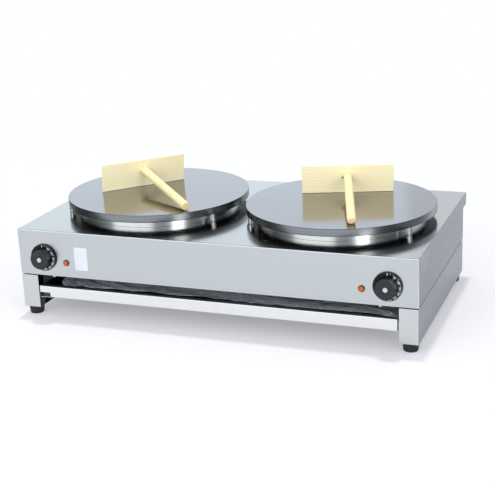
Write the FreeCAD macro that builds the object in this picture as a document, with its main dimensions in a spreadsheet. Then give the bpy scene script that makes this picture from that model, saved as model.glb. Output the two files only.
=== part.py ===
import FreeCAD, Part
import math
import os
import Sketcher

# Electric crepe maker with two round griddle plates on one stainless casing.
# Millimetres, +Z up. The feet stand on z = 0, the front faces -Y, and the origin
# is the middle of the overall bounding box, at the floor.

SIZES = {
    # Casing
    "overall_width": 860,
    "casing_depth": 445,
    "casing_height": 98,
    "casing_gauge": 1.0,
    "fold_radius": 2.5,
    "front_fold_height": 8,
    "panel_lip": 12,
    "hood_depth": 35,
    "hood_drop": 27,
    "cover_gauge": 1.5,
    "cover_inset": 3,
    "vent_width": 5,
    "vent_length": 60,
    "vent_pitch": 28,
    "vent_count": 24,
    # Base with its legs, feet and drawer rails
    "base_height": 75,
    "leg_width": 39,
    "leg_return": 20,
    "leg_edge_radius": 1.2,
    "base_rear_height": 60,
    "foot_height": 18,
    "foot_top_radius": 16.5,
    "foot_bottom_radius": 14.5,
    "foot_edge": 2.5,
    "foot_inset_side": 19,
    "foot_inset_front": 17.5,
    "foot_recess_radius": 6.5,
    "foot_recess_depth": 9,
    "rail_level": 24.5,
    "rail_reach": 26,
    "rail_web_height": 22,
    "rail_setback": 3,
    # Drawer
    "drawer_front_height": 24,
    "drawer_front_lift": 1.0,
    "drawer_front_depth": 12,
    "drawer_front_radius": 1.5,
    "drawer_side_gap": 2.5,
    "drawer_rear_gap": 8,
    "tray_setback": 10,
    "tray_gauge": 1.0,
    "notch_width": 24,
    "notch_height": 10,
    "liner_gauge": 0.4,
    "liner_margin": 55,
    "liner_rear_margin": 30,
    # Griddle plates, rings and posts
    "plate_spacing": 420,
    "plate_rear_setback": 236,
    "plate_radius": 200,
    "plate_thickness": 15.5,
    "plate_gap": 16.5,
    "plate_chamfer": 1.0,
    "ring_radius": 178,
    "ring_height": 10,
    "ring_gauge": 1.2,
    "ring_flange": 7,
    "ring_edge_radius": 1.0,
    "post_radius": 6,
    "post_circle": 193,
    "post_pin_radius": 2.5,
    "post_pin_length": 5,
    "post_count": 3,
    "post_first_angle": -30,
    # Heating
    "element_radius": 4,
    "element_outer_loop": 150,
    "element_inner_loop": 105,
    "element_bend": 10,
    "element_gap_angle": 15,
    "element_leg_drop": 30,
    "element_hole_radius": 6,
    "clamp_gauge": 2,
    "clamp_ring_outer": 138,
    "clamp_ring_inner": 118,
    "clamp_arm_width": 20,
    "clamp_arm_outer": 165,
    "stud_radius": 3,
    "stud_depth": 7.5,
    "stud_first_angle": 30,
    "clamp_nut_width": 10,
    "clamp_nut_height": 4,
    "shield_radius": 168,
    "shield_gauge": 1.0,
    "bulb_radius": 4,
    "bulb_length": 70,
    "capillary_radius": 1,
    "capillary_drop": 60,
    "capillary_hole_radius": 2.5,
    "capillary_top_bend": 6,
    "capillary_drop_bend": 18,
    "capillary_side_bend": 30,
    # Controls
    "knob_inset": 59.5,
    "knob_level": 40,
    "knob_gap": 1.0,
    "dial_radius": 30,
    "dial_thickness": 5,
    "dial_bevel": 1.8,
    "dial_hole_radius": 7,
    "dial_cavity_radius": 26,
    "dial_face_gauge": 2.2,
    "cap_radius": 22,
    "cap_front_radius": 20.5,
    "cap_height": 17,
    "cap_bevel": 1.8,
    "cap_dimple_radius": 7,
    "cap_dimple_depth": 0.8,
    "cap_socket_depth": 12,
    "pointer_distance": 17.5,
    "pointer_depth": 9,
    "pointer_angle": 40,
    "spindle_radius": 3,
    "bush_radius": 5,
    "bush_length": 1.6,
    "thermostat_width": 44,
    "thermostat_depth": 30,
    "thermostat_height": 36,
    "thermostat_screw_spacing": 28,
    "thermostat_bore": 14,
    "lamp_inset": 111,
    "lamp_level": 31,
    "lens_radius": 7,
    "lens_flange": 1.5,
    "lens_dome_radius": 5.8,
    "lens_dome_height": 2.8,
    "lens_dome_round": 2.2,
    "lamp_body_radius": 5.4,
    "lamp_body_length": 24,
    "lamp_collar_radius": 8,
    "lamp_collar_height": 3,
    "lamp_tab_width": 6.3,
    "lamp_tab_gauge": 0.8,
    "lamp_tab_length": 8,
    "label_inset": 146.5,
    "label_level": 42,
    "label_width": 30,
    "label_height": 50,
    "label_gauge": 0.3,
    # Mains connection at the rear
    "gland_inset": 180,
    "gland_level": 30,
    "gland_flange_width": 24,
    "gland_flange_height": 5,
    "gland_dome_radius": 10,
    "gland_dome_length": 14,
    "gland_thread_radius": 8,
    "gland_thread_length": 12,
    "gland_bore_radius": 5.5,
    "gland_nut_width": 22,
    "gland_nut_height": 4,
    "earth_inset": 120,
    "earth_radius": 3,
    "earth_length": 14,
    "earth_head_width": 10,
    "earth_head_height": 4,
    "terminal_width": 70,
    "terminal_depth": 28,
    "terminal_height": 22,
    "terminal_setback": 60,
    "terminal_pitch": 13,
    "terminal_hole_radius": 3,
    "terminal_hole_depth": 8,
    # Fasteners
    "screw_radius": 1.9,
    "screw_head_radius": 4,
    "screw_head_height": 2.4,
    "screw_grip": 4,
    "front_screw_inset": 37,
    "side_screw_inset": 7,
    "foot_screw_radius": 2.5,
    "foot_screw_head_radius": 5,
    "foot_screw_head_height": 3,
    "foot_screw_grip": 6,
    "post_screw_radius": 2.4,
    "post_screw_head_radius": 4.5,
    "post_screw_head_height": 3,
    "post_screw_depth": 8,
    # Batter spreaders
    "board_length": 196,
    "board_height": 62,
    "board_thickness": 5,
    "handle_radius": 9,
    "handle_length": 238,
    "handle_level": 38,
    "handle_tenon_radius": 5,
    "left_handle_round": 2,
    "right_handle_round": 8,
    "left_spreader_offset_x": -49,
    "left_spreader_offset_y": 27,
    "left_spreader_angle": 46.5,
    "right_spreader_offset_x": -5,
    "right_spreader_offset_y": 69,
    "right_spreader_angle": 17.5,
    # Clearances
    "hole_clearance": 0.2,
    "running_clearance": 0.05,
    "seat_clearance": 0.1,
    "rest_clearance": 0.3,
    # How far a cutting tool runs past what it cuts
    "overcut": 1,
}


class Size:
    """A length with its number and the sheet expression that gives it."""

    def __init__(self, value, text):
        self.value = value
        self.text = text

    @staticmethod
    def of(other):
        return other if isinstance(other, Size) else Size(float(other), repr(float(other)))

    def __add__(self, other):
        other = Size.of(other)
        return Size(self.value + other.value, f"({self.text} + {other.text})")

    def __radd__(self, other):
        return Size.of(other) + self

    def __sub__(self, other):
        other = Size.of(other)
        return Size(self.value - other.value, f"({self.text} - {other.text})")

    def __rsub__(self, other):
        return Size.of(other) - self

    def __mul__(self, other):
        other = Size.of(other)
        return Size(self.value * other.value, f"({self.text} * {other.text})")

    def __rmul__(self, other):
        return Size.of(other) * self

    def __truediv__(self, other):
        other = Size.of(other)
        return Size(self.value / other.value, f"({self.text} / {other.text})")

    def __neg__(self):
        return Size(-self.value, f"(-1 * {self.text})")


def cosine(angle):
    angle = Size.of(angle)
    return Size(math.cos(math.radians(angle.value)), f"cos({angle.text} * 1 deg)")


def sine(angle):
    angle = Size.of(angle)
    return Size(math.sin(math.radians(angle.value)), f"sin({angle.text} * 1 deg)")


doc = FreeCAD.newDocument("crepe_maker")
sheet = doc.addObject("Spreadsheet::Sheet", "sizes")
for row, (size_name, number) in enumerate(SIZES.items(), start=1):
    sheet.set(f"A{row}", size_name)
    sheet.set(f"B{row}", str(number))
    sheet.setAlias(f"B{row}", size_name)
doc.recompute()


class Sheet:
    """Reads a named size from the sheet."""

    def __getattr__(self, name):
        return Size(float(sheet.get(name)), f"sizes.{name}")


s = Sheet()
nodes = {}
SIDES = {"left": -1, "right": 1}

# Levels, from the floor up
BASE_BOTTOM = s.foot_height
CASING_BOTTOM = BASE_BOTTOM + s.base_height
BASE_TOP = CASING_BOTTOM - s.cover_gauge
CASING_TOP = CASING_BOTTOM + s.casing_height
TOP_UNDERSIDE = CASING_TOP - s.casing_gauge
PLATE_BOTTOM = CASING_TOP + s.plate_gap
PLATE_TOP = PLATE_BOTTOM + s.plate_thickness
RAIL_TOP = BASE_BOTTOM + s.rail_level
DRAWER_FRONT_BOTTOM = RAIL_TOP + s.drawer_front_lift
DRAWER_FRONT_TOP = DRAWER_FRONT_BOTTOM + s.drawer_front_height
TRAY_BOTTOM = RAIL_TOP + s.rest_clearance
TRAY_TOP = DRAWER_FRONT_TOP - s.casing_gauge
KNOB_LEVEL = CASING_BOTTOM + s.knob_level
GLAND_LEVEL = CASING_BOTTOM + s.gland_level

# Distances from the middle, sideways
HALF_WIDTH = s.overall_width / 2
BAY_HALF_WIDTH = HALF_WIDTH - s.leg_width
RAIL_FACE = BAY_HALF_WIDTH - s.casing_gauge
KNOB_X = HALF_WIDTH - s.knob_inset
LAMP_X = HALF_WIDTH - s.lamp_inset
PLATE_X = s.plate_spacing / 2
GLAND_X = HALF_WIDTH - s.gland_inset
EARTH_X = HALF_WIDTH - s.earth_inset

# Places along Y: the knobs reach furthest forward and the hood furthest back
KNOB_REACH = s.knob_gap + s.dial_thickness + s.cap_height
FRONT = (KNOB_REACH - s.casing_depth - s.hood_depth) / 2
CASING_REAR = FRONT + s.casing_depth
HOOD_REAR = CASING_REAR + s.hood_depth
PLATE_Y = HOOD_REAR - s.plate_rear_setback
TRAY_FRONT = FRONT + s.tray_setback
TRAY_REAR = CASING_REAR - s.casing_gauge - s.drawer_rear_gap
SIDE_SCREW_X = HALF_WIDTH - s.side_screw_inset
LIP_SCREW_INSET = s.panel_lip / 2 + s.casing_gauge


def bind(item, **sizes):
    """Set properties of a document object from the sheet."""
    for name, size in sizes.items():
        item.setExpression(name.replace("__", "."), Size.of(size).text)


def place(item, position, rotation=None):
    """Put an object at a position that follows the sheet."""
    base = FreeCAD.Vector(*[Size.of(c).value for c in position])
    item.Placement = FreeCAD.Placement(base, rotation or FreeCAD.Rotation())
    bind(item, Placement__Base__x=position[0], Placement__Base__y=position[1],
         Placement__Base__z=position[2])


AXES = {
    "up": FreeCAD.Rotation(),
    "forward": FreeCAD.Rotation(FreeCAD.Vector(1, 0, 0), 90),
    "back": FreeCAD.Rotation(FreeCAD.Vector(1, 0, 0), -90),
}


def box(name, corner, size):
    """A block from its low corner and its extents."""
    item = doc.addObject("Part::Box", name)
    bind(item, Length=size[0], Width=size[1], Height=size[2])
    place(item, corner)
    return item


def span(name, x_range, y_range, z_range):
    """A block between pairs of limits."""
    corner = (x_range[0], y_range[0], z_range[0])
    size = tuple(Size.of(r[1]) - r[0] for r in (x_range, y_range, z_range))
    return box(name, corner, size)


def rod(name, base, radius, length, axis="up"):
    """A cylinder that starts at base and runs along the axis."""
    item = doc.addObject("Part::Cylinder", name)
    bind(item, Radius=radius, Height=length)
    place(item, base, AXES[axis])
    return item


def hexagon(name, base, width, height, axis="up"):
    """A six-sided prism, width being the distance across flats."""
    item = doc.addObject("Part::Prism", name)
    item.Polygon = 6
    bind(item, Circumradius=width / 2 / cosine(30), Height=height)
    place(item, base, AXES[axis])
    return item


def fuse(name, pieces):
    item = doc.addObject("Part::MultiFuse", name)
    item.Shapes = pieces
    item.Refine = True
    return item


def cut(name, base, tools):
    item = doc.addObject("Part::Cut", name)
    item.Base = base
    item.Tool = tools[0] if len(tools) == 1 else fuse(name + "_tools", tools)
    return item


def group(name, pieces):
    """Separate solids that count as one item, such as a set of screws."""
    item = doc.addObject("Part::Compound", name)
    item.Links = pieces
    return item


def finish(name, item):
    """Give a finished sub-part its node name."""
    item.Label = name
    nodes[name] = item
    return item


def new_body(name):
    body = doc.addObject("PartDesign::Body", name + "_body")
    return finish(name, body)


def sketch(body, role, lift=0, turn=0):
    """A sketch parallel to one of the body's own planes.

    XY looks along +Z with (x, y), XZ looks along -Y with (x, z), and YZ looks
    along +X with (y, z). lift moves the sketch along that look direction.
    """
    item = body.newObject("Sketcher::SketchObject", body.Label + "_sketch")
    plane = [f for f in body.Origin.OriginFeatures if f.Role == role][0]
    item.AttachmentSupport = [(plane, "")]
    item.MapMode = "FlatFace"
    lift = Size.of(lift)
    rotation = FreeCAD.Rotation(FreeCAD.Vector(0, 0, 1), Size.of(turn).value)
    item.AttachmentOffset = FreeCAD.Placement(FreeCAD.Vector(0, 0, lift.value), rotation)
    bind(item, AttachmentOffset__Base__z=lift)
    return item


def constrain(item, kind, *arguments):
    """Add a constraint whose value follows the sheet."""
    size = Size.of(arguments[-1])
    index = item.addConstraint(Sketcher.Constraint(kind, *arguments[:-1], size.value))
    item.setExpression(f"Constraints[{index}]", size.text)


def polygon(item, points):
    """Draw a closed outline through points given as pairs of sizes."""
    places = [FreeCAD.Vector(Size.of(x).value, Size.of(y).value, 0) for x, y in points]
    first = item.GeometryCount
    count = len(points)
    for i in range(count):
        item.addGeometry(Part.LineSegment(places[i], places[(i + 1) % count]), False)
    for i in range(count):
        item.addConstraint(Sketcher.Constraint("Coincident", first + i, 2,
                                               first + (i + 1) % count, 1))
    for i, (x, y) in enumerate(points):
        constrain(item, "DistanceX", first + i, 1, x)
        constrain(item, "DistanceY", first + i, 1, y)


def rectangle(item, x_range, y_range):
    polygon(item, [(x_range[0], y_range[0]), (x_range[1], y_range[0]),
                   (x_range[1], y_range[1]), (x_range[0], y_range[1])])


def circle(item, x, y, radius):
    centre = FreeCAD.Vector(Size.of(x).value, Size.of(y).value, 0)
    index = item.addGeometry(Part.Circle(centre, FreeCAD.Vector(0, 0, 1),
                                         Size.of(radius).value), False)
    constrain(item, "DistanceX", index, 3, x)
    constrain(item, "DistanceY", index, 3, y)
    constrain(item, "Radius", index, radius)


def pad(body, profile, length, both_ways=False, backwards=False):
    item = body.newObject("PartDesign::Pad", body.Label + "_pad")
    item.Profile = profile
    item.Midplane = both_ways
    item.Reversed = backwards
    bind(item, Length=length)
    doc.recompute()
    return item


def pocket(body, profile, depth=None):
    """Cut against the sketch's look direction, or right through without a depth."""
    before = body.Shape.Volume
    item = body.newObject("PartDesign::Pocket", body.Label + "_pocket")
    item.Profile = profile
    if depth is None:
        item.Type = "ThroughAll"
        item.Midplane = True
    else:
        bind(item, Length=depth)
    doc.recompute()
    if body.Shape.Volume > before - 1e-6:
        raise RuntimeError(f"the pocket in {body.Label} cut nothing")
    return item


def turn(body, profile):
    """Revolve a sketch of (radius, height) points about the body's Z axis."""
    item = body.newObject("PartDesign::Revolution", body.Label + "_turned")
    item.Profile = profile
    item.ReferenceAxis = (profile, ["V_Axis"])
    item.Angle = 360
    doc.recompute()
    return item


def turned(name, points):
    """A body of revolution about its own Z axis."""
    body = new_body(name)
    profile = sketch(body, "XZ_Plane")
    polygon(profile, points)
    turn(body, profile)
    return body


def edges_where(shape, test):
    """Names of the edges whose middle passes a test."""
    names = []
    for index, edge in enumerate(shape.Edges, start=1):
        middle = edge.valueAt((edge.FirstParameter + edge.LastParameter) / 2)
        if test(edge, middle):
            names.append(f"Edge{index}")
    return names


def round_edges(body, radius, test):
    base = body.Tip
    names = edges_where(base.Shape, test)
    item = body.newObject("PartDesign::Fillet", body.Label + "_round")
    item.Base = (base, names)
    bind(item, Radius=radius)
    doc.recompute()
    return item


def near(a, b):
    return abs(a - Size.of(b).value) < 1e-4


def around(centre_x, centre_y, radius, angle):
    """A place on a circle, by its angle from +X."""
    return centre_x + radius * cosine(angle), centre_y + radius * sine(angle)


def ring_angles(first, count):
    return [first + Size.of(360) / count * i for i in range(int(round(count.value)))]


# Places shared by the pieces that meet there

def plate_centre(side):
    return SIDES[side] * PLATE_X, PLATE_Y


def post_places(side):
    x, y = plate_centre(side)
    return [around(x, y, s.post_circle, a) for a in ring_angles(s.post_first_angle, s.post_count)]


def stud_places(side):
    x, y = plate_centre(side)
    middle = (s.clamp_ring_outer + s.clamp_ring_inner) / 2
    return [around(x, y, middle, a) for a in ring_angles(s.stud_first_angle, Size.of(3))]


def element_leg_places(side):
    """Where the heating element's two ends go down, inner loop last."""
    places = []
    for loop in (s.element_outer_loop, s.element_inner_loop):
        along = loop * cosine(s.element_gap_angle) + s.element_bend * sine(s.element_gap_angle)
        across = loop * sine(s.element_gap_angle) - s.element_bend * cosine(s.element_gap_angle)
        x, y = plate_centre(side)
        places.append((x - SIDES[side] * along, y + across))
    return places


def capillary_place(side):
    x, y = plate_centre(side)
    return x + SIDES[side] * s.capillary_drop, y


def foot_places():
    for side, sign in SIDES.items():
        x = sign * (HALF_WIDTH - s.foot_inset_side)
        yield f"front_{side}", (x, FRONT + s.foot_inset_front)
        yield f"rear_{side}", (x, CASING_REAR - s.foot_inset_front)


def lip_screw_places():
    """Screws that hold the bottom cover to the front and rear lips."""
    for sign in SIDES.values():
        x = sign * (BAY_HALF_WIDTH - s.front_screw_inset)
        yield x, FRONT + LIP_SCREW_INSET
        yield x, CASING_REAR - LIP_SCREW_INSET


def side_screw_places():
    """Screws that hold the base sides and the side panels to the bottom cover."""
    for sign in SIDES.values():
        for share in (1 / 6, 1 / 2, 5 / 6):
            yield sign * SIDE_SCREW_X, FRONT + s.casing_depth * share


# Casing

def make_top_panel():
    body = new_body("top_panel")
    profile = sketch(body, "YZ_Plane")
    inner_front = FRONT + s.casing_gauge
    fold_bottom = CASING_TOP - s.front_fold_height
    polygon(profile, [(FRONT, fold_bottom), (inner_front, fold_bottom),
                      (inner_front, TOP_UNDERSIDE), (HOOD_REAR, TOP_UNDERSIDE),
                      (HOOD_REAR, CASING_TOP), (FRONT, CASING_TOP)])
    pad(body, profile, s.overall_width, both_ways=True)
    holes = sketch(body, "XY_Plane", CASING_TOP)
    for side in SIDES:
        for x, y in post_places(side):
            circle(holes, x, y, s.post_screw_radius + s.hole_clearance)
        for x, y in element_leg_places(side):
            circle(holes, x, y, s.element_hole_radius)
        x, y = capillary_place(side)
        circle(holes, x, y, s.capillary_hole_radius)
    pocket(body, holes, s.casing_gauge * 2)
    round_edges(body, s.fold_radius,
                lambda edge, middle: near(middle.y, FRONT) and near(middle.z, CASING_TOP))
    round_edges(body, s.fold_radius - s.casing_gauge,
                lambda edge, middle: near(middle.y, inner_front) and near(middle.z, TOP_UNDERSIDE))


def make_front_panel():
    body = new_body("front_panel")
    profile = sketch(body, "YZ_Plane")
    lip_rear = FRONT + s.panel_lip
    lip_top = CASING_BOTTOM + s.casing_gauge
    inner_front = FRONT + s.casing_gauge
    fold_bottom = CASING_TOP - s.front_fold_height
    polygon(profile, [(FRONT, CASING_BOTTOM), (lip_rear, CASING_BOTTOM), (lip_rear, lip_top),
                      (inner_front, lip_top), (inner_front, fold_bottom), (FRONT, fold_bottom)])
    pad(body, profile, s.overall_width, both_ways=True)
    holes = sketch(body, "XZ_Plane", -FRONT)
    for sign in SIDES.values():
        circle(holes, sign * KNOB_X, KNOB_LEVEL, s.bush_radius + s.hole_clearance)
        for end in (-0.5, 0.5):
            circle(holes, sign * KNOB_X + end * s.thermostat_screw_spacing, KNOB_LEVEL,
                   s.screw_radius + s.hole_clearance)
        circle(holes, sign * LAMP_X, CASING_BOTTOM + s.lamp_level,
               s.lamp_body_radius + s.hole_clearance)
    pocket(body, holes, s.casing_gauge * 2)
    trim_lip(body, lip_top, (inner_front, lip_rear))


def trim_lip(body, lip_top, along):
    """Cut a lip back at the side panels and drill it for the cover's screws."""
    outline = sketch(body, "XY_Plane", lip_top)
    inner_side = HALF_WIDTH - s.casing_gauge
    for sign in SIDES.values():
        rectangle(outline, (sign * inner_side, sign * HALF_WIDTH), along)
    for x, y in lip_screw_places():
        if along[0].value < y.value < along[1].value:
            circle(outline, x, y, s.screw_radius + s.hole_clearance)
    pocket(body, outline, s.casing_gauge * 2)


def make_side_panel(side):
    sign = SIDES[side]
    body = new_body(f"{side}_side_panel")
    profile = sketch(body, "XZ_Plane", -(FRONT + s.casing_gauge))
    outer = sign * HALF_WIDTH
    inner = sign * (HALF_WIDTH - s.casing_gauge)
    lip_end = sign * (HALF_WIDTH - s.panel_lip)
    lip_top = CASING_BOTTOM + s.casing_gauge
    polygon(profile, [(outer, CASING_BOTTOM), (lip_end, CASING_BOTTOM), (lip_end, lip_top),
                      (inner, lip_top), (inner, TOP_UNDERSIDE), (outer, TOP_UNDERSIDE)])
    pad(body, profile, s.casing_depth - 2 * s.casing_gauge, backwards=True)
    # The front and rear lips run to the sides, so this lip stops short of them
    ends = sketch(body, "XY_Plane", lip_top)
    corner = s.panel_lip - s.casing_gauge
    across = (sign * (HALF_WIDTH - s.panel_lip - s.overcut), inner)
    rectangle(ends, across, (FRONT + s.casing_gauge, FRONT + s.casing_gauge + corner))
    rectangle(ends, across, (CASING_REAR - s.casing_gauge - corner, CASING_REAR - s.casing_gauge))
    for x, y in side_screw_places():
        if x.value * sign > 0:
            circle(ends, x, y, s.screw_radius + s.hole_clearance)
    pocket(body, ends, s.casing_gauge)
    # Room for the inside of the top panel's front fold
    corner_room = sketch(body, "YZ_Plane", sign * HALF_WIDTH)
    front = FRONT + s.casing_gauge
    rectangle(corner_room, (front, front + s.fold_radius),
              (TOP_UNDERSIDE - s.fold_radius, TOP_UNDERSIDE))
    pocket(body, corner_room)


def make_rear_panel():
    body = new_body("rear_panel")
    profile = sketch(body, "YZ_Plane")
    inner_rear = CASING_REAR - s.casing_gauge
    lip_front = CASING_REAR - s.panel_lip
    lip_top = CASING_BOTTOM + s.casing_gauge
    polygon(profile, [(CASING_REAR, CASING_BOTTOM), (CASING_REAR, TOP_UNDERSIDE),
                      (inner_rear, TOP_UNDERSIDE), (inner_rear, lip_top),
                      (lip_front, lip_top), (lip_front, CASING_BOTTOM)])
    pad(body, profile, s.overall_width, both_ways=True)
    holes = sketch(body, "XZ_Plane", -inner_rear)
    circle(holes, GLAND_X, GLAND_LEVEL, s.gland_thread_radius + s.hole_clearance)
    circle(holes, EARTH_X, GLAND_LEVEL, s.earth_radius + s.hole_clearance)
    pocket(body, holes, s.casing_gauge * 2)
    trim_lip(body, lip_top, (lip_front, inner_rear))


def make_rear_hood():
    """The spacer channel under the top panel's rear overhang."""
    bottom = CASING_TOP - s.hood_drop
    width = (-HALF_WIDTH, HALF_WIDTH)
    pieces = [
        span("hood_back", width, (HOOD_REAR - s.casing_gauge, HOOD_REAR), (bottom, TOP_UNDERSIDE)),
        span("hood_floor", width, (CASING_REAR, HOOD_REAR), (bottom, bottom + s.casing_gauge)),
        span("hood_left_end", (-HALF_WIDTH, s.casing_gauge - HALF_WIDTH),
             (CASING_REAR, HOOD_REAR), (bottom, TOP_UNDERSIDE)),
        span("hood_right_end", (HALF_WIDTH - s.casing_gauge, HALF_WIDTH),
             (CASING_REAR, HOOD_REAR), (bottom, TOP_UNDERSIDE)),
    ]
    finish("rear_hood", fuse("rear_hood_shape", pieces))


def make_bottom_cover():
    body = new_body("bottom_cover")
    outline = sketch(body, "XY_Plane", BASE_TOP)
    edge = HALF_WIDTH - s.cover_inset
    rectangle(outline, (-edge, edge), (FRONT + s.cover_inset, CASING_REAR - s.cover_inset))
    for x, y in list(lip_screw_places()) + list(side_screw_places()):
        circle(outline, x, y, s.screw_radius + s.hole_clearance)
    pad(body, outline, s.cover_gauge)
    slot = sketch(body, "XY_Plane", CASING_BOTTOM)
    first = -(s.vent_count - 1) * s.vent_pitch / 2
    rectangle(slot, (first - s.vent_width / 2, first + s.vent_width / 2),
              (PLATE_Y - s.vent_length / 2, PLATE_Y + s.vent_length / 2))
    first_vent = pocket(body, slot, s.cover_gauge)
    vents = body.newObject("PartDesign::LinearPattern", "vents")
    vents.Originals = [first_vent]
    vents.Direction = (slot, ["H_Axis"])
    bind(vents, Occurrences=s.vent_count, Length=(s.vent_count - 1) * s.vent_pitch)
    body.Tip = vents
    doc.recompute()


def make_label():
    x = -(HALF_WIDTH - s.label_inset)
    z = CASING_BOTTOM + s.label_level
    finish("blank_label", span(
        "blank_label_shape", (x - s.label_width / 2, x + s.label_width / 2),
        (FRONT - s.label_gauge, FRONT), (z - s.label_height / 2, z + s.label_height / 2)))


# Base, feet and rails

def make_base_side(side):
    """A folded channel whose ends are the front and rear legs."""
    sign = SIDES[side]
    gauge = s.casing_gauge

    def across(near_side, far_side):
        """Limits across the machine, from two distances to the side face."""
        ends = [sign * (HALF_WIDTH - near_side), sign * (HALF_WIDTH - far_side)]
        return ends if sign < 0 else ends[::-1]

    depth = (FRONT, CASING_REAR)
    height = (BASE_BOTTOM, BASE_TOP)
    full = across(Size.of(0), s.leg_width)
    back = across(s.leg_width - gauge, s.leg_width)
    name = f"{side}_base"
    pieces = [
        span(name + "_wall", across(Size.of(0), gauge), depth, height),
        span(name + "_bottom", full, depth, (BASE_BOTTOM, BASE_BOTTOM + gauge)),
        span(name + "_top", full, depth, (BASE_TOP - gauge, BASE_TOP)),
        span(name + "_front_leg", full, (FRONT, FRONT + gauge), height),
        span(name + "_rear_leg", full, (CASING_REAR - gauge, CASING_REAR), height),
        span(name + "_front_return", back, (FRONT, FRONT + s.leg_return), height),
        span(name + "_rear_return", back, (CASING_REAR - s.leg_return, CASING_REAR), height),
    ]
    shell = fuse(name + "_shell", pieces)
    rounded = doc.addObject("Part::Fillet", name + "_rounded")
    doc.recompute()
    rounded.Base = shell
    radius = min(s.leg_edge_radius.value, 3 * s.leg_width.value / 8)
    outer = (sign * HALF_WIDTH).value
    edges = [int(edge[4:]) for edge in edges_where(
        shell.Shape, lambda edge, middle: near(middle.y, FRONT) and near(middle.x, outer))]
    rounded.Edges = [(edge, radius, radius) for edge in edges]
    feet = [xy for foot, xy in foot_places() if foot.endswith(side)]
    screws = [xy for xy in side_screw_places() if xy[0].value * sign > 0]
    tools = [rod(name + "_foot_hole", (x, y, BASE_BOTTOM - s.overcut),
                 s.foot_screw_radius + s.hole_clearance, gauge + 2 * s.overcut) for x, y in feet]
    tools += [rod(name + "_screw_hole", (x, y, BASE_TOP - gauge - s.overcut),
                  s.screw_radius + s.hole_clearance, gauge + 2 * s.overcut) for x, y in screws]
    finish(f"{side}_base_side", cut(name + "_side", rounded, tools))


def make_base_rear_panel():
    finish("base_rear_panel", span(
        "base_rear_shape", (-BAY_HALF_WIDTH, BAY_HALF_WIDTH),
        (CASING_REAR - s.casing_gauge, CASING_REAR), (BASE_TOP - s.base_rear_height, BASE_TOP)))


def make_rail(side):
    """An angle whose flange carries the drawer tray."""
    sign = SIDES[side]
    along = (FRONT + s.rail_setback, CASING_REAR - s.casing_gauge - s.rail_setback)
    bottom = RAIL_TOP - s.casing_gauge

    def across(a, b):
        return (sign * b, sign * a) if sign < 0 else (sign * a, sign * b)

    pieces = [
        span(f"{side}_rail_web", across(RAIL_FACE, BAY_HALF_WIDTH), along,
             (bottom, bottom + s.rail_web_height)),
        span(f"{side}_rail_flange", across(BAY_HALF_WIDTH - s.rail_reach, BAY_HALF_WIDTH), along,
             (bottom, RAIL_TOP)),
    ]
    finish(f"{side}_drawer_rail", fuse(f"{side}_rail_shape", pieces))


def make_foot(name, position):
    bore = s.foot_screw_radius + s.hole_clearance
    body = turned(f"{name}_foot", [
        (bore, s.foot_height), (s.foot_top_radius, s.foot_height),
        (s.foot_bottom_radius, s.foot_edge), (s.foot_bottom_radius - s.foot_edge, 0),
        (s.foot_recess_radius, 0), (s.foot_recess_radius, s.foot_recess_depth),
        (bore, s.foot_recess_depth)])
    place(body, (position[0], position[1], Size.of(0)))


def screw(name, position, sizes, axis="up"):
    """A pan-head screw: position is where its head meets what it holds."""
    radius, head_radius, head_height, length = sizes
    x, y, z = position
    if axis == "up":
        head_base = (x, y, z - head_height)
    else:
        head_base = (x, y - head_height, z)
        axis = "back"
    head = rod(name + "_head", head_base, head_radius, head_height, axis)
    shank = rod(name + "_shank", position, radius, length, axis)
    return fuse(name, [head, shank])


def make_casing_screws():
    small = (s.screw_radius, s.screw_head_radius, s.screw_head_height)
    sheets = s.cover_gauge + s.casing_gauge
    screws = [screw("lip_screw", (x, y, BASE_TOP), small + (sheets + s.screw_grip,))
              for x, y in lip_screw_places()]
    screws += [screw("side_screw", (x, y, BASE_TOP - s.casing_gauge),
                     small + (sheets + s.casing_gauge + s.screw_grip,))
               for x, y in side_screw_places()]
    finish("casing_screws", group("casing_screw_set", screws))


def make_foot_screws():
    length = s.foot_height - s.foot_recess_depth + s.casing_gauge + s.foot_screw_grip
    sizes = (s.foot_screw_radius, s.foot_screw_head_radius, s.foot_screw_head_height, length)
    screws = [screw("foot_screw", (x, y, s.foot_recess_depth), sizes)
              for name, (x, y) in foot_places()]
    finish("foot_screws", group("foot_screw_set", screws))


# Drawer

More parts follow.
